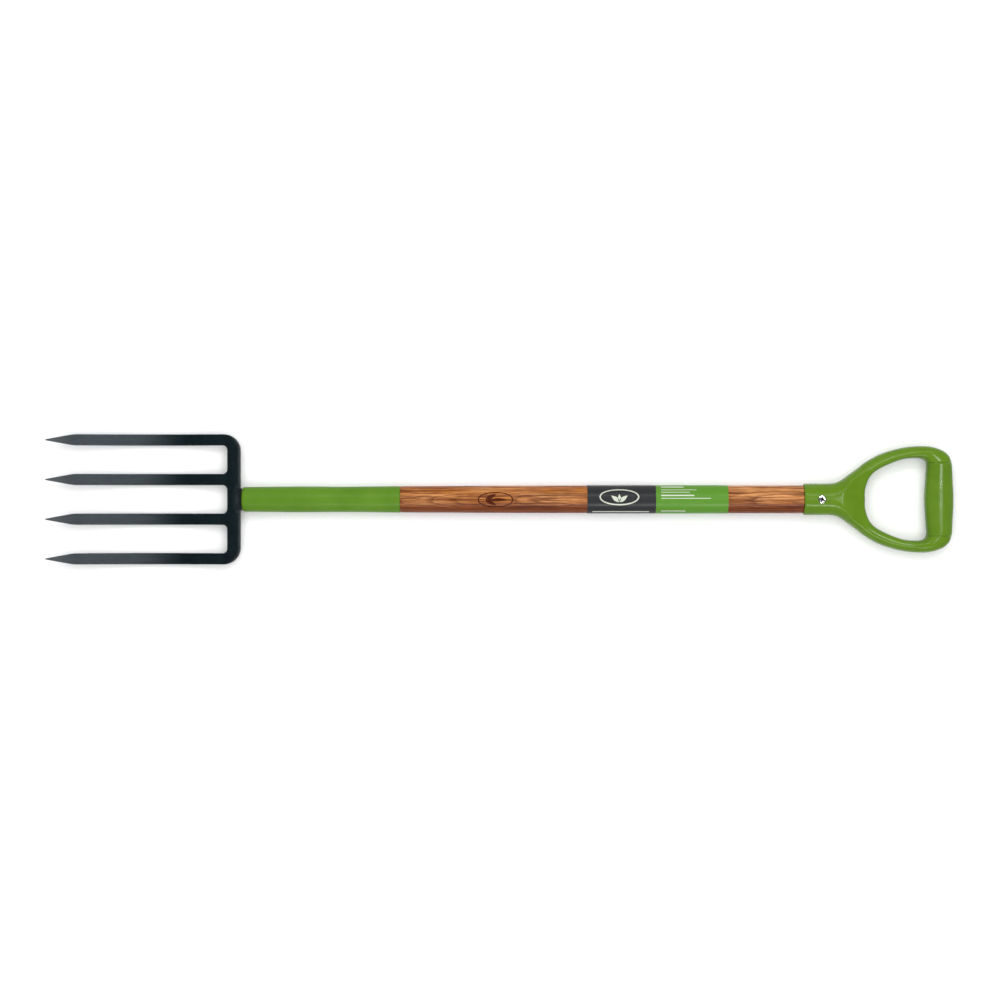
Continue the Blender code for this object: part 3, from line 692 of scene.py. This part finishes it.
def lacquered_wood(name, char=0.0, specular=0.11):
    """Hardwood: growth rings round a pith that runs slantwise behind the shaft, with pores and streaks, and
    painted shade towards the shaft's -Y side.
    """
    look = Surface(name, specular=specular, ior=1.42)
    x = look.axis("X")
    y = look.axis("Y")
    wander = look.noise(7.0, detail=2.0, across=3.0)
    ripple = look.noise(60.0, along=0.3)
    pith_y = look.math("MULTIPLY_ADD", x, PITH_Y_SLOPE, PITH_Y)
    pith_z = look.math("MULTIPLY_ADD", x, PITH_Z_SLOPE, PITH_Z)
    across = look.math("SUBTRACT", y, pith_y)
    up = look.math("SUBTRACT", look.axis("Z"), pith_z)
    squares = look.math("MULTIPLY_ADD", across, across, look.math("MULTIPLY", up, up))
    radius = look.math("SQRT", squares)
    radius = look.math("MULTIPLY_ADD", wander, 0.0065, radius)
    radius = look.math("MULTIPLY_ADD", ripple, 0.0022, radius)
    ring = look.math("FRACT", look.math("MULTIPLY", radius, 1 / RING_WIDTH))
    late_wood = look.math("MULTIPLY", look.range(ring, 0.45, 0.86), look.range(ring, 0.99, 0.9))
    lines = look.noise(640.0, roughness=0.7, along=0.016, distortion=0.3)
    fibre = look.noise(1500.0, detail=4.0, roughness=0.65, along=0.025)
    streaks = look.noise(420.0, roughness=0.6, along=0.045)
    pores = look.noise(2400.0, detail=1.0, along=0.04)
    clouds = look.noise(22.0, along=0.5, across=1.6)
    pores_by_ring = look.range(late_wood, 0.0, 0.8, 0.4, 1.0)
    pore_mask = look.math("MULTIPLY", look.range(pores, 0.56, 0.7), pores_by_ring)
    colour = look.mix(look.range(clouds, 0.35, 0.65), (0.5, 0.18, 0.038), (0.78, 0.36, 0.13))
    layers = (
        # Painted shade: darker towards the shaft's -Y side
        (look.range(y, *PAINTED_SHADE_YS, 0.0, 0.92), (0.19, 0.04, 0.007)),
        (look.range(streaks, 0.46, 0.62, 0.0, 0.7), (0.19, 0.05, 0.01)),
        (look.range(fibre, 0.32, 0.72, 0.0, 0.5), (0.14, 0.038, 0.009)),
        (look.math("MULTIPLY", late_wood, 0.52), (0.085, 0.016, 0.003)),
        (look.range(lines, 0.5, 0.58, 0.0, 0.85), (0.075, 0.014, 0.003)),
        (look.math("MULTIPLY", pore_mask, 0.7), (0.028, 0.007, 0.002)),
        (char, (0.05, 0.008, 0.002)),
    )
    for share, tone in layers:
        colour = look.mix(share, colour, tone)
    look.colour(colour)
    look.rough(look.range(fibre, 0.3, 0.7, 0.3, 0.44))
    look.bump((fibre, 0.00006), (pore_mask, -0.00006), (streaks, 0.0001))
    return look.material


def printed_film():
    """The wrap: charcoal towards the head and green towards the grip, on a slightly creased film."""
    look = Surface("printed_film", specular=0.11, ior=1.42)
    half = look.math("GREATER_THAN", look.axis("X"), WRAP_SPLIT_X)
    specks = look.noise(1400.0, roughness=0.7)
    creases = look.noise(60.0, along=0.35)
    charcoal = look.mix(look.range(specks, 0.35, 0.65), (0.018, 0.019, 0.02), (0.026, 0.027, 0.029))
    green = look.mix(look.range(specks, 0.35, 0.65), (0.078, 0.215, 0.019), (0.092, 0.242, 0.024))
    look.colour(look.mix(half, charcoal, green))
    look.rough(look.range(creases, 0.3, 0.7, 0.3, 0.42))
    look.bump((creases, 0.0003), (specks, 0.00001))
    return look.material


def print_ink():
    """Off-white ink, a little thin in places."""
    look = Surface("print_ink", specular=0.4)
    cover = look.noise(1800.0, roughness=0.7)
    look.colour(look.mix(look.range(cover, 0.3, 0.55), (0.36, 0.4, 0.3), (0.52, 0.55, 0.45)))
    look.rough(look.range(cover, 0.3, 0.7, 0.38, 0.5))
    look.bump((cover, 0.00001))
    return look.material


def plated(name, light, dark, low_rough, high_rough):
    """Plated steel with fine turning marks and spots of dulled plating."""
    look = Surface(name, metallic=1.0)
    spots = look.noise(900.0, detail=4.0, roughness=0.65)
    marks = look.noise(4000.0, detail=2.0, along=0.25)
    look.colour(look.mix(look.range(spots, 0.45, 0.7), light, dark))
    look.rough(look.range(spots, 0.3, 0.75, low_rough, high_rough))
    look.bump((marks, 0.00001), (spots, 0.00003))
    return look.material


def plain_floor():
    """Pale card, with a trace of tooth."""
    look = Surface("floor_card", roughness=0.9, specular=0.1)
    tooth = look.noise(300.0, detail=2.0)
    look.colour(look.mix(look.range(tooth, 0.3, 0.7), (0.9, 0.9, 0.9), (0.92, 0.92, 0.92)))
    return look.material


# ---- fork head ----


def head_outline():
    """The comb of tines, the crossbar and the neck, in plan."""
    edge = [
        (ROOT_X, -TINE_WIDTH / 2, ROOT_FILLET),
        (TIP_X + POINT_LENGTH, -TINE_WIDTH / 2, SHOULDER_RADIUS),
        (TIP_X, -POINT_WIDTH / 2, POINT_ROUND),
    ]
    tine = edge + [(x, -y, radius) for x, y, radius in reversed(edge)]
    tines = [(x, middle + y, radius) for middle in TINE_YS for x, y, radius in tine]
    back = [(CROSSBAR_BACK_X, HEAD_HALF_WIDTH, CORNER_RADIUS), (CROSSBAR_BACK_X, NECK_HALF_WIDTH, 0.0)]
    corners = [(x, -y, radius) for x, y, radius in reversed(back)] + tines[1:-1] + back
    comb = resample(rounded_loop(corners), HEAD_SPACING, closed=False)
    wall = (CROSSBAR_BACK_X + NECK_WALL, NECK_HALF_WIDTH)
    end = (NECK_FACE_X, NECK_HALF_WIDTH)
    side = np.linspace(wall, end, NECK_SIDE_POINTS)
    face = np.linspace(end, (NECK_FACE_X, -NECK_HALF_WIDTH), NECK_FACE_POINTS)[1:-1]
    return np.vstack([comb, side, face, side[::-1] * (1, -1)])


def neck_creases():
    """The two edges of the low wall where the crossbar's back drops to the neck."""
    ys = np.linspace(-NECK_HALF_WIDTH, NECK_HALF_WIDTH, NECK_FACE_POINTS)
    return [np.column_stack([np.full_like(ys, CROSSBAR_BACK_X + wall), ys]) for wall in (NECK_WALL, 0.0)]


def neck_heights(x, y):
    """Upper and lower surface of the neck, which swells from the crossbar up to the ferrule."""
    share = smooth_step(NECK_FACE_X - NECK_LENGTH, NECK_FACE_X, x)
    middle = blend(NECK_START_Z, AXIS_Z, share)
    depth = blend(NECK_START_HALF_DEPTH, NECK_HALF_DEPTH, share)
    width = blend(NECK_START_HALF_WIDTH, NECK_ROUND_HALF_WIDTH, share)
    power = blend(NECK_START_POWER, NECK_END_POWER, share)
    across = np.clip(np.abs(y) / width, 0.0, 1.0)
    reach = (1 - across**power) ** (1 / power)
    return middle + depth * reach, middle - depth * reach


def bar_and_tine_heights(x, distance):
    """Front and back surface of the tines and the crossbar, at places and distances in from the outline."""
    to_point = np.clip((x - TIP_X) / POINT_LENGTH, 0.0, 1.0)
    along = np.clip((ROOT_X - x) / (ROOT_X - TIP_X - POINT_LENGTH), 0.0, 1.0)
    in_bar = smooth_step(ROOT_LOW_X, ROOT_HIGH_X, x)
    dished = TINE_LOW_FRONT_Z + (x - TINE_LOW_X) ** 2 / (2 * TINE_DISH_RADIUS)
    front = smooth_min(dished, np.full_like(x, CROSSBAR_FRONT_Z), CROSSBAR_BEND)
    edge = blend(TINE_EDGE, CROSSBAR_EDGE, smooth_step(EDGE_LOW_X, EDGE_HIGH_X, x))
    edge *= blend(POINT_EDGE_SHARE, 1.0, to_point)
    tine_depth = blend(POINT_DEPTH, blend(TINE_ROOT_DEPTH, TINE_END_DEPTH, along), to_point)
    half_width = blend(POINT_WIDTH, TINE_WIDTH, to_point) / 2
    flank = np.maximum(half_width - TINE_BACK_FLAT, half_width * POINT_FLANK_SHARE)
    to_ridge = np.clip(distance / flank, 0.0, 1.0)
    ridged = tine_depth * blend(TINE_SIDE_SHARE, 1.0, to_ridge)
    square = CROSSBAR_DEPTH - edge_drop(distance, CROSSBAR_EDGE)
    back = front - blend(ridged, square, in_bar)
    back += edge_drop(distance, TINE_BACK_EDGE * to_point) * (1 - in_bar)
    return front - edge_drop(distance, edge), back


def tang_rod(name, gap):
    """The square tang, or with a gap the bore that it sits in."""
    start = (FERRULE_LOW.x - TANG_OVERLAP, 0, AXIS_Z)
    end = (HEAD_HIGH.x + gap, 0, AXIS_Z)
    extra = gap * math.sqrt(2)
    return rod(name, start, end, TANG_ROOT_RADIUS + extra, TANG_END_RADIUS + extra, sides=4)


def make_fork_head():
    outline = head_outline()
    plan = plan_mesh([outline], HEAD_GRID, HEAD_RINGS, neck_creases())

    def surfaces(points):
        x = points[:, 0]
        y = points[:, 1]
        front, back = bar_and_tine_heights(x, distance_to(outline, points))
        neck_front, neck_back = neck_heights(x, y)
        near_neck = (x > NECK_FACE_X - NECK_REACH) & (np.abs(y) < NECK_START_HALF_WIDTH)
        front = np.where(near_neck, smooth_max(front, neck_front, NECK_FILLET), front)
        back = np.where(near_neck, smooth_min(back, neck_back, NECK_FILLET), back)
        behind_bar = smooth_step(CROSSBAR_BACK_X + NECK_WALL_START, CROSSBAR_BACK_X + NECK_WALL, x)
        front = blend(front, neck_front, behind_bar)
        back = blend(back, neck_back, behind_bar)
        return [np.column_stack([points, height]) for height in (front, back)]

    head = relief("fork_head_forging", plan, surfaces)
    combine(head, "UNION", tang_rod("tang", 0.0))
    settle(head, "fork_head", forged_steel(), HEAD_SHARP_DEGREES)


# ---- ferrule, nail, shaft ----


def make_ferrule():
    """The steel sleeve: a waisted outside, a rolled edge at the shaft and a round corner at the head."""
    end_x, end_radius = FERRULE_STATIONS[0]
    side = [(x, radius) for x, radius in spline(FERRULE_STATIONS, PROFILE_STEPS) if x < end_x - ROLLED_EDGE]
    corner_x = FERRULE_LOW.x + FERRULE_CORNER
    corner_radius = FERRULE_STATIONS[-1][1] - FERRULE_CORNER
    profile = arc((end_x - ROLLED_EDGE, end_radius - ROLLED_EDGE), ROLLED_EDGE, 0, 90, 5)
    profile += side
    profile += arc((corner_x, corner_radius), FERRULE_CORNER, 90, 180, 10)
    hole = TANG_ROOT_RADIUS + 2 * GAP
    profile += [(FERRULE_LOW.x, hole), (FERRULE_LOW.x + FERRULE_WALL, hole)]
    profile += arc((corner_x, corner_radius), FERRULE_CORNER - FERRULE_WALL, 180, 90, 6)
    profile += [(x, radius - FERRULE_WALL) for x, radius in reversed(side)]
    profile.append((end_x, end_radius - FERRULE_WALL))
    ferrule = turned("ferrule_sleeve", profile)
    hole_low = (NAIL_X, 0, -CUT_MARGIN)
    hole_high = (NAIL_X, 0, NAIL_HOLE_TOP_Z)
    combine(ferrule, "DIFFERENCE", rod("nail_hole", hole_low, hole_high, NAIL_HOLE_RADIUS))
    settle(ferrule, "ferrule", powder_coat())


def make_ferrule_nail():
    """The nail's shank, and its low domed head on the back of the ferrule."""
    low = NAIL_LOW.z
    high = low + NAIL_HEAD_HEIGHT
    profile = [(NAIL_HIGH.z, 0.0), (NAIL_HIGH.z - NAIL_POINT_LENGTH, NAIL_RADIUS), (high, NAIL_RADIUS)]
    profile += [(low + height, radius) for height, radius in NAIL_HEAD]
    centre = (NAIL_X, 0, 0)
    nail = turned("ferrule_nail_head", profile, centre, along_shaft=False, closed=False, steps=48)
    zinc = plated("zinc_nail", (0.55, 0.56, 0.57), (0.36, 0.37, 0.37), 0.3, 0.5)
    settle(nail, "ferrule_nail", zinc)


def shaft_profile():
    """From the tenon's end in the grip, along the shaft, to the nose in the ferrule."""
    shoulder_x, shoulder_radius = SHAFT_STATIONS[0]
    end_x, end_radius = SHAFT_STATIONS[-1]
    clearance = FERRULE_WALL + GAP
    nose_x = FERRULE_LOW.x + clearance
    nose_radius = FERRULE_STATIONS[-1][1] - clearance
    profile = [(TENON_END_X, 0.0), (TENON_END_X, TENON_RADIUS - TENON_CHAMFER)]
    profile += [(TENON_END_X - TENON_CHAMFER, TENON_RADIUS)]
    profile += [(shoulder_x, TENON_RADIUS), (shoulder_x, shoulder_radius - SHOULDER_CHAMFER)]
    profile += [(x - SHOULDER_CHAMFER, radius) for x, radius in spline(SHAFT_STATIONS, PROFILE_STEPS)[:-1]]
    profile += [(end_x, end_radius - GAP)]
    profile += [(x, radius - clearance) for x, radius in spline(FERRULE_STATIONS, PROFILE_STEPS)]
    profile += [(nose_x + NOSE_LENGTH, nose_radius), (nose_x, nose_radius - NOSE_CHAMFER), (nose_x, 0.0)]
    return profile


def make_wood_shaft():
    """The turned shaft, with a tenon at each end, the tang's bore and the rivet's hole."""
    shaft = turned("turned_shaft", shaft_profile(), closed=False)
    rivet_hole = rod("rivet_hole", (RIVET_X, 0, 0), (RIVET_X, 0, RIVET_HOLE_TOP_Z), RIVET_HOLE_RADIUS)
    combine(shaft, "DIFFERENCE", tang_rod("tang_bore", GAP), rivet_hole)
    settle(shaft, "wood_shaft", lacquered_wood("lacquered_wood"))


# ---- wrap and prints ----


def make_wrap():
    """One sheet of film round the shaft, which laps over itself at the back."""
    steps = ROUND_STEPS
    inner = WRAP_RADIUS - WRAP_THICKNESS
    back = 3 * math.pi
    angles = np.linspace(math.pi, back + WRAP_LAP, steps)
    rise = FILM_RISE * smooth_step(back - 2 * WRAP_LAP, back - WRAP_LAP / 2, angles)
    vertices = []
    for level in (FILM_THICKNESS, 0.0):
        radii = inner + level + rise
        across = radii * np.sin(angles)
        up = AXIS_Z + radii * np.cos(angles)
        for x in np.linspace(WRAP_LOW.x, WRAP_HIGH.x, WRAP_ROWS):
            vertices += list(np.column_stack([np.full(steps, x), across, up]))
    count = WRAP_ROWS * steps
    faces = []
    for row in range(WRAP_ROWS - 1):
        for step in range(steps - 1):
            a = row * steps + step
            faces.append((a, a + 1, a + steps + 1, a + steps))
            faces.append((a + count, a + steps + count, a + steps + 1 + count, a + 1 + count))
    for step in range(steps - 1):
        for a in (step, (WRAP_ROWS - 1) * steps + step):
            faces.append((a, a + 1, a + 1 + count, a + count))
    for row in range(WRAP_ROWS - 1):
        for a in (row * steps, row * steps + steps - 1):
            faces.append((a, a + steps, a + steps + count, a + count))
    wrap = new_piece("wrap_film", vertices, faces)
    settle(wrap, "wrap_label", printed_film())


def bar(low_x, high_x, along, height):
    """A printed bar with round ends."""
    radius = height * 0.49
    low = along - height / 2
    high = along + height / 2
    corners = ((low_x, low), (high_x, low), (high_x, high), (low_x, high))
    return rounded_loop([(x, y, radius) for x, y in corners], steps=5)


def ellipse(x, along, half_length, half_height, steps=72):
    angles = np.linspace(0.0, 2 * math.pi, steps, endpoint=False)
    return np.column_stack([x + half_length * np.cos(angles), along + half_height * np.sin(angles)])


def leaf(x, along, length, width, turn_degrees):
    """A pointed leaf that grows from (x, along) in the direction of turn_degrees."""
    share = np.linspace(0.0, 1.0, 13)
    half = width / 2 * np.sin(math.pi * share**0.8)
    upper = np.column_stack([share * length, half])
    outline = np.vstack([upper, (upper * (1, -1))[-2:0:-1]])
    turn = math.radians(turn_degrees)
    matrix = np.array([[math.cos(turn), math.sin(turn)], [-math.sin(turn), math.cos(turn)]])
    return outline @ matrix + (x, along)


def print_on_shaft(name, loops, radius, thickness, material):
    """A thin print or mark that lies round the shaft."""
    loops = [resample(loop, PRINT_SPACING) for loop in loops]
    plan = plan_mesh(loops, PRINT_GRID, PRINT_RINGS)
    mark = relief(name, plan, lambda points: [wrapped(points, radius, lift) for lift in (thickness, 0.0)])
    settle(mark, None, material)


def wrapped(points, radius, lift):
    """Plan points laid round the shaft at a radius, then lifted outwards."""
    angle = points[:, 1] / radius
    reach = radius + lift
    return np.column_stack([points[:, 0], reach * np.sin(angle), AXIS_Z + reach * np.cos(angle)])


def make_prints():
    """A plain badge with a sprout on the charcoal half, and bars in place of lettering."""
    ink = print_ink()
    badge = [ellipse(BADGE_X, BADGE_ALONG, *halves) for halves in BADGE_OVALS]
    for turn, length in SPROUT_LEAVES:
        badge.append(leaf(BADGE_X, SPROUT_ALONG, length, length * SPROUT_LEAF_SHAPE, turn))
    print_on_shaft("wrap_badge", badge, FILM_RADIUS, INK_THICKNESS, ink)
    bars = [bar(*LONG_BAR)]
    bars += [bar(BARS_X, BARS_X + length, along, height) for along, length, height in BARS]
    print_on_shaft("wrap_bars", bars, FILM_RADIUS, INK_THICKNESS, ink)


def make_burned_mark():
    """An oval with leaves, burned into the shaft between the ferrule and the wrap."""
    mark = [ellipse(BURN_X, BURN_ALONG, *halves) for halves in BURN_OVALS]
    for stem, length, width, turn in BURN_LEAVES:
        mark.append(leaf(BURN_X + stem, BURN_ALONG, length, width, turn))
    charred = lacquered_wood("charred_wood", char=BURN_CHAR, specular=0.04)
    print_on_shaft("burned_mark", mark, BURN_RADIUS, BURN_THICKNESS, charred)


# ---- hand grip ----


def grip_loops():
    """The silhouette of the whole grip, with its socket, and the hand's opening."""
    flare = spline(GRIP_OUTLINE)
    start = np.array([(SOCKET_X, 0.0), *SOCKET_SIDE])
    outline = mirrored(np.vstack([start, flare]))
    opening = mirrored(spline(GRIP_OPENING))
    return outline, opening


def grip_half_depth(points, outline, opening):
    """Half the grip's depth over its plan: round socket, round arms with an inner facet, and oval bar."""
    x = points[:, 0]
    outer = distance_to(outline, points)
    inner = distance_to(opening, points)
    depth = blend(SOCKET_RADIUS, ARM_HALF_DEPTH, smooth_step(*FLARE_DEPTH_XS, x))
    radius = blend(SOCKET_RADIUS, ARM_ROUND, smooth_step(*FLARE_ROUND_XS, x))
    to_side = 1 - np.minimum(outer / radius, 1.0)
    side = depth * np.sqrt(np.maximum(1 - to_side**2, 0.0))
    side = np.where(x < SOCKET_END_X, socket_half_depth(points), side)
    web = WEB_HALF_DEPTH + FACET_SLOPE * inner
    edge = 1 - np.minimum(inner / OPENING_EDGE, 1.0)
    rounding = np.sqrt(np.maximum(1 - edge**2, 0.0)) ** OPENING_EDGE_POWER
    body = smooth_min(side, web, WEB_CREASE) * rounding
    across = np.abs(outer - inner) / np.maximum(outer + inner, WELD)
    bar_body = BAR_HALF_DEPTH * np.maximum(1 - across**BAR_POWER, 0.0) ** (1 / BAR_POWER)
    return blend(body, bar_body, smooth_step(*BAR_XS, x))


def socket_half_depth(points):
    """Half the depth of the round socket, whose mouth is a little smaller."""
    mouth = np.clip((points[:, 0] - SOCKET_X) / SOCKET_MOUTH, 0.0, 1.0)
    radius = blend(SOCKET_MOUTH_RADIUS, SOCKET_RADIUS, np.sqrt(mouth * (2 - mouth)))
    return np.sqrt(np.maximum(radius**2 - points[:, 1] ** 2, 0.0))


def clipped(loop, keep):
    """The one run of a closed loop's points that keep is true for, in order."""
    flags = keep(loop)
    starts = np.flatnonzero(flags & ~np.roll(flags, 1))
    rolled = np.roll(loop, -starts[0], axis=0)
    return rolled[keep(rolled)]


def with_seam_end(run, seam_y):
    """Moves the ends of a run onto the seam."""
    run = run.copy()
    for end in (0, -1):
        run[end, 1] = math.copysign(seam_y, run[end, 1])
    return run


def grip_body(name, outline, opening, on_bar, seam_y):
    """The frame or the sleeve: the part of the grip on one side of the two seams."""

    def keep(points):
        between = (points[:, 0] > BAR_XS[0]) & (np.abs(points[:, 1]) < seam_y)
        return between if on_bar else ~between

    outer_run = with_seam_end(clipped(outline, keep), seam_y)
    inner_run = with_seam_end(clipped(opening, keep), seam_y)
    loop = resample(np.vstack([outer_run, inner_run[::-1]]), GRIP_SPACING)
    plan = plan_mesh([loop], GRIP_GRID, GRIP_RINGS)

    def surfaces(points):
        to_seam = np.where(points[:, 0] > BAR_XS[0], np.abs(np.abs(points[:, 1]) - seam_y), 1.0)
        groove = SEAM_DEPTH * (1 - np.clip(to_seam / SEAM_WIDTH, 0.0, 1.0)) ** 2
        depth = np.maximum(grip_half_depth(points, outline, opening) - groove, 0.0)
        return [np.column_stack([points, AXIS_Z + side * depth]) for side in (1, -1)]

    return relief(name, plan, surfaces)


def bar_rod(name, half_length, radius):
    """A round rod along the middle of the grip's bar."""
    return rod(name, (BAR_X, -half_length, AXIS_Z), (BAR_X, half_length, AXIS_Z), radius)


def make_grip():
    """The grip's frame with the core inside its bar, and the sleeve over the core."""
    outline, opening = (resample(loop, GRIP_SPACING) for loop in grip_loops())
    grip = grip_body("grip_moulding", outline, opening, False, SEAM_Y)
    combine(grip, "UNION", bar_rod("core", CORE_HALF_LENGTH, CORE_RADIUS))
    bore_start = (SOCKET_X - 2 * CUT_MARGIN, 0, AXIS_Z)
    bore = rod("bore", bore_start, (TENON_END_X + GAP, 0, AXIS_Z), TENON_RADIUS + GAP)
    combine(grip, "DIFFERENCE", bore, rivet_cutter())
    green = moulded_plastic(
        "green_plastic", (0.102, 0.2, 0.012), (0.09, 0.18, 0.01), 0.17, 0.24, 700.0, 0.00003
    )
    settle(grip, "d_grip_frame", green)
    sleeve = grip_body("grip_bar_sleeve", outline, opening, True, SEAM_Y - GAP)
    combine(sleeve, "DIFFERENCE", bar_rod("hollow", CORE_CUT_HALF_LENGTH, CORE_RADIUS + GAP))
    soft_green = moulded_plastic(
        "green_soft_plastic", (0.096, 0.19, 0.014), (0.084, 0.168, 0.011), 0.17, 0.23, 1500.0, 0.00002
    )
    settle(sleeve, "grip_sleeve", soft_green)


def upright(name, profile, closed, steps=72):
    """Turns a (height, radius) profile about the rivet's axis."""
    return turned(name, profile, (RIVET_X, 0, 0), along_shaft=False, closed=closed, steps=steps)


def rivet_cutter():
    """The rivet's hole through the socket, with a round recess at each end."""
    levels = (
        (CUTTER_TOP_Z, RECESS_Z, RECESS_RADIUS),
        (RECESS_Z, BACK_RECESS_Z, RIVET_HOLE_RADIUS),
        (BACK_RECESS_Z, -CUT_MARGIN, BACK_RECESS_RADIUS),
    )
    profile = [(CUTTER_TOP_Z, 0.0)]
    for high, low, radius in levels:
        profile += [(high, radius), (low, radius)]
    profile.append((-CUT_MARGIN, 0.0))
    return upright("rivet_cutter", profile, closed=False, steps=64)


def make_rivet():
    """A tubular rivet: a rolled head in front, and its clinched end at the back."""
    top = RIVET_HIGH.z
    low = RIVET_LOW.z
    profile = arc((top - RIVET_LIP, RIVET_MOUTH_RADIUS), RIVET_LIP, -90, 0, 5)
    profile += [(top + height, radius) for height, radius in RIVET_HEAD]
    profile += [(low + height, radius) for height, radius in RIVET_CLINCH]
    nickel = plated("nickel_plate", (0.8, 0.8, 0.78), (0.62, 0.62, 0.6), 0.14, 0.28)
    settle(upright("tubular_rivet", profile, closed=True), "grip_rivet", nickel)


def make_washer():
    """A plain washer with broken edges."""
    profile = []
    for radius, side in ((WASHER_RADIUS, -WASHER_EDGE), (WASHER_HOLE_RADIUS, WASHER_EDGE)):
        rim = [(WASHER_HIGH.z, radius + side), (WASHER_HIGH.z - WASHER_EDGE, radius)]
        rim += [(WASHER_LOW.z + WASHER_EDGE, radius), (WASHER_LOW.z, radius + side)]
        profile += rim if side < 0 else rim[::-1]
    zinc = plated("zinc_washer", (0.58, 0.59, 0.6), (0.4, 0.41, 0.41), 0.28, 0.45)
    settle(upright("back_washer", profile, closed=True), "rivet_washer", zinc)


# ---- stage ----


def make_camera():
    camera = placed("camera", bpy.data.cameras.new("camera"))
    camera.location = (*CAMERA_AIM, AXIS_Z + CAMERA_DISTANCE)
    camera.data.sensor_width = SENSOR_WIDTH
    camera.data.lens = SENSOR_WIDTH * CAMERA_DISTANCE / PICTURE_WIDTH
    bpy.context.scene.camera = camera


def make_floor():
    corners = [(x * FLOOR_HALF, y * FLOOR_HALF, 0) for x, y in ((-1, -1), (1, -1), (1, 1), (-1, 1))]
    mesh = bpy.data.meshes.new("floor")
    mesh.from_pydata(corners, [], [(0, 1, 2, 3)])
    mesh.materials.append(plain_floor())
    placed("floor", mesh)


def soft_box(name, place, target, size, power, diffuse, glossy):
    """A rectangular lamp of a (length, width) size that faces a target."""
    lamp = bpy.data.lights.new(name, "AREA")
    lamp.shape = "RECTANGLE"
    lamp.size, lamp.size_y = size
    lamp.energy = power
    obj = placed(name, lamp)
    obj.location = place
    obj.rotation_euler = (Vector(target) - Vector(place)).to_track_quat("-Z", "Y").to_euler()
    obj.visible_diffuse = diffuse
    obj.visible_glossy = glossy


def make_world():
    """A pale studio room, with its ceiling in the dark above the camera."""
    world = bpy.data.worlds.new("studio")
    bpy.context.scene.world = world
    world.use_nodes = True
    tree = world.node_tree
    direction = tree.nodes.new("ShaderNodeTexCoord")
    height = tree.nodes.new("ShaderNodeSeparateXYZ")
    share = tree.nodes.new("ShaderNodeMapRange")
    share.interpolation_type = "SMOOTHSTEP"
    for socket, value in CEILING_RANGE:
        share.inputs[socket].default_value = value
    background = tree.nodes["Background"]
    background.inputs["Color"].default_value = (0.97, 0.98, 1.0, 1.0)
    tree.links.new(direction.outputs["Generated"], height.inputs[0])
    tree.links.new(height.outputs["Z"], share.inputs["Value"])
    tree.links.new(share.outputs[0], background.inputs["Strength"])


def make_lights():
    """Even light from overhead and a soft key, and strips that only glossy surfaces mirror."""
    for lamp in LAMPS:
        soft_box(*lamp)
    bpy.context.scene.view_settings.view_transform = "Standard"


def main():
    make_camera()
    make_floor()
    make_world()
    make_lights()
    make_fork_head()
    make_ferrule()
    make_ferrule_nail()
    make_wood_shaft()
    make_wrap()
    make_prints()
    make_burned_mark()
    make_grip()
    make_rivet()
    make_washer()


main()
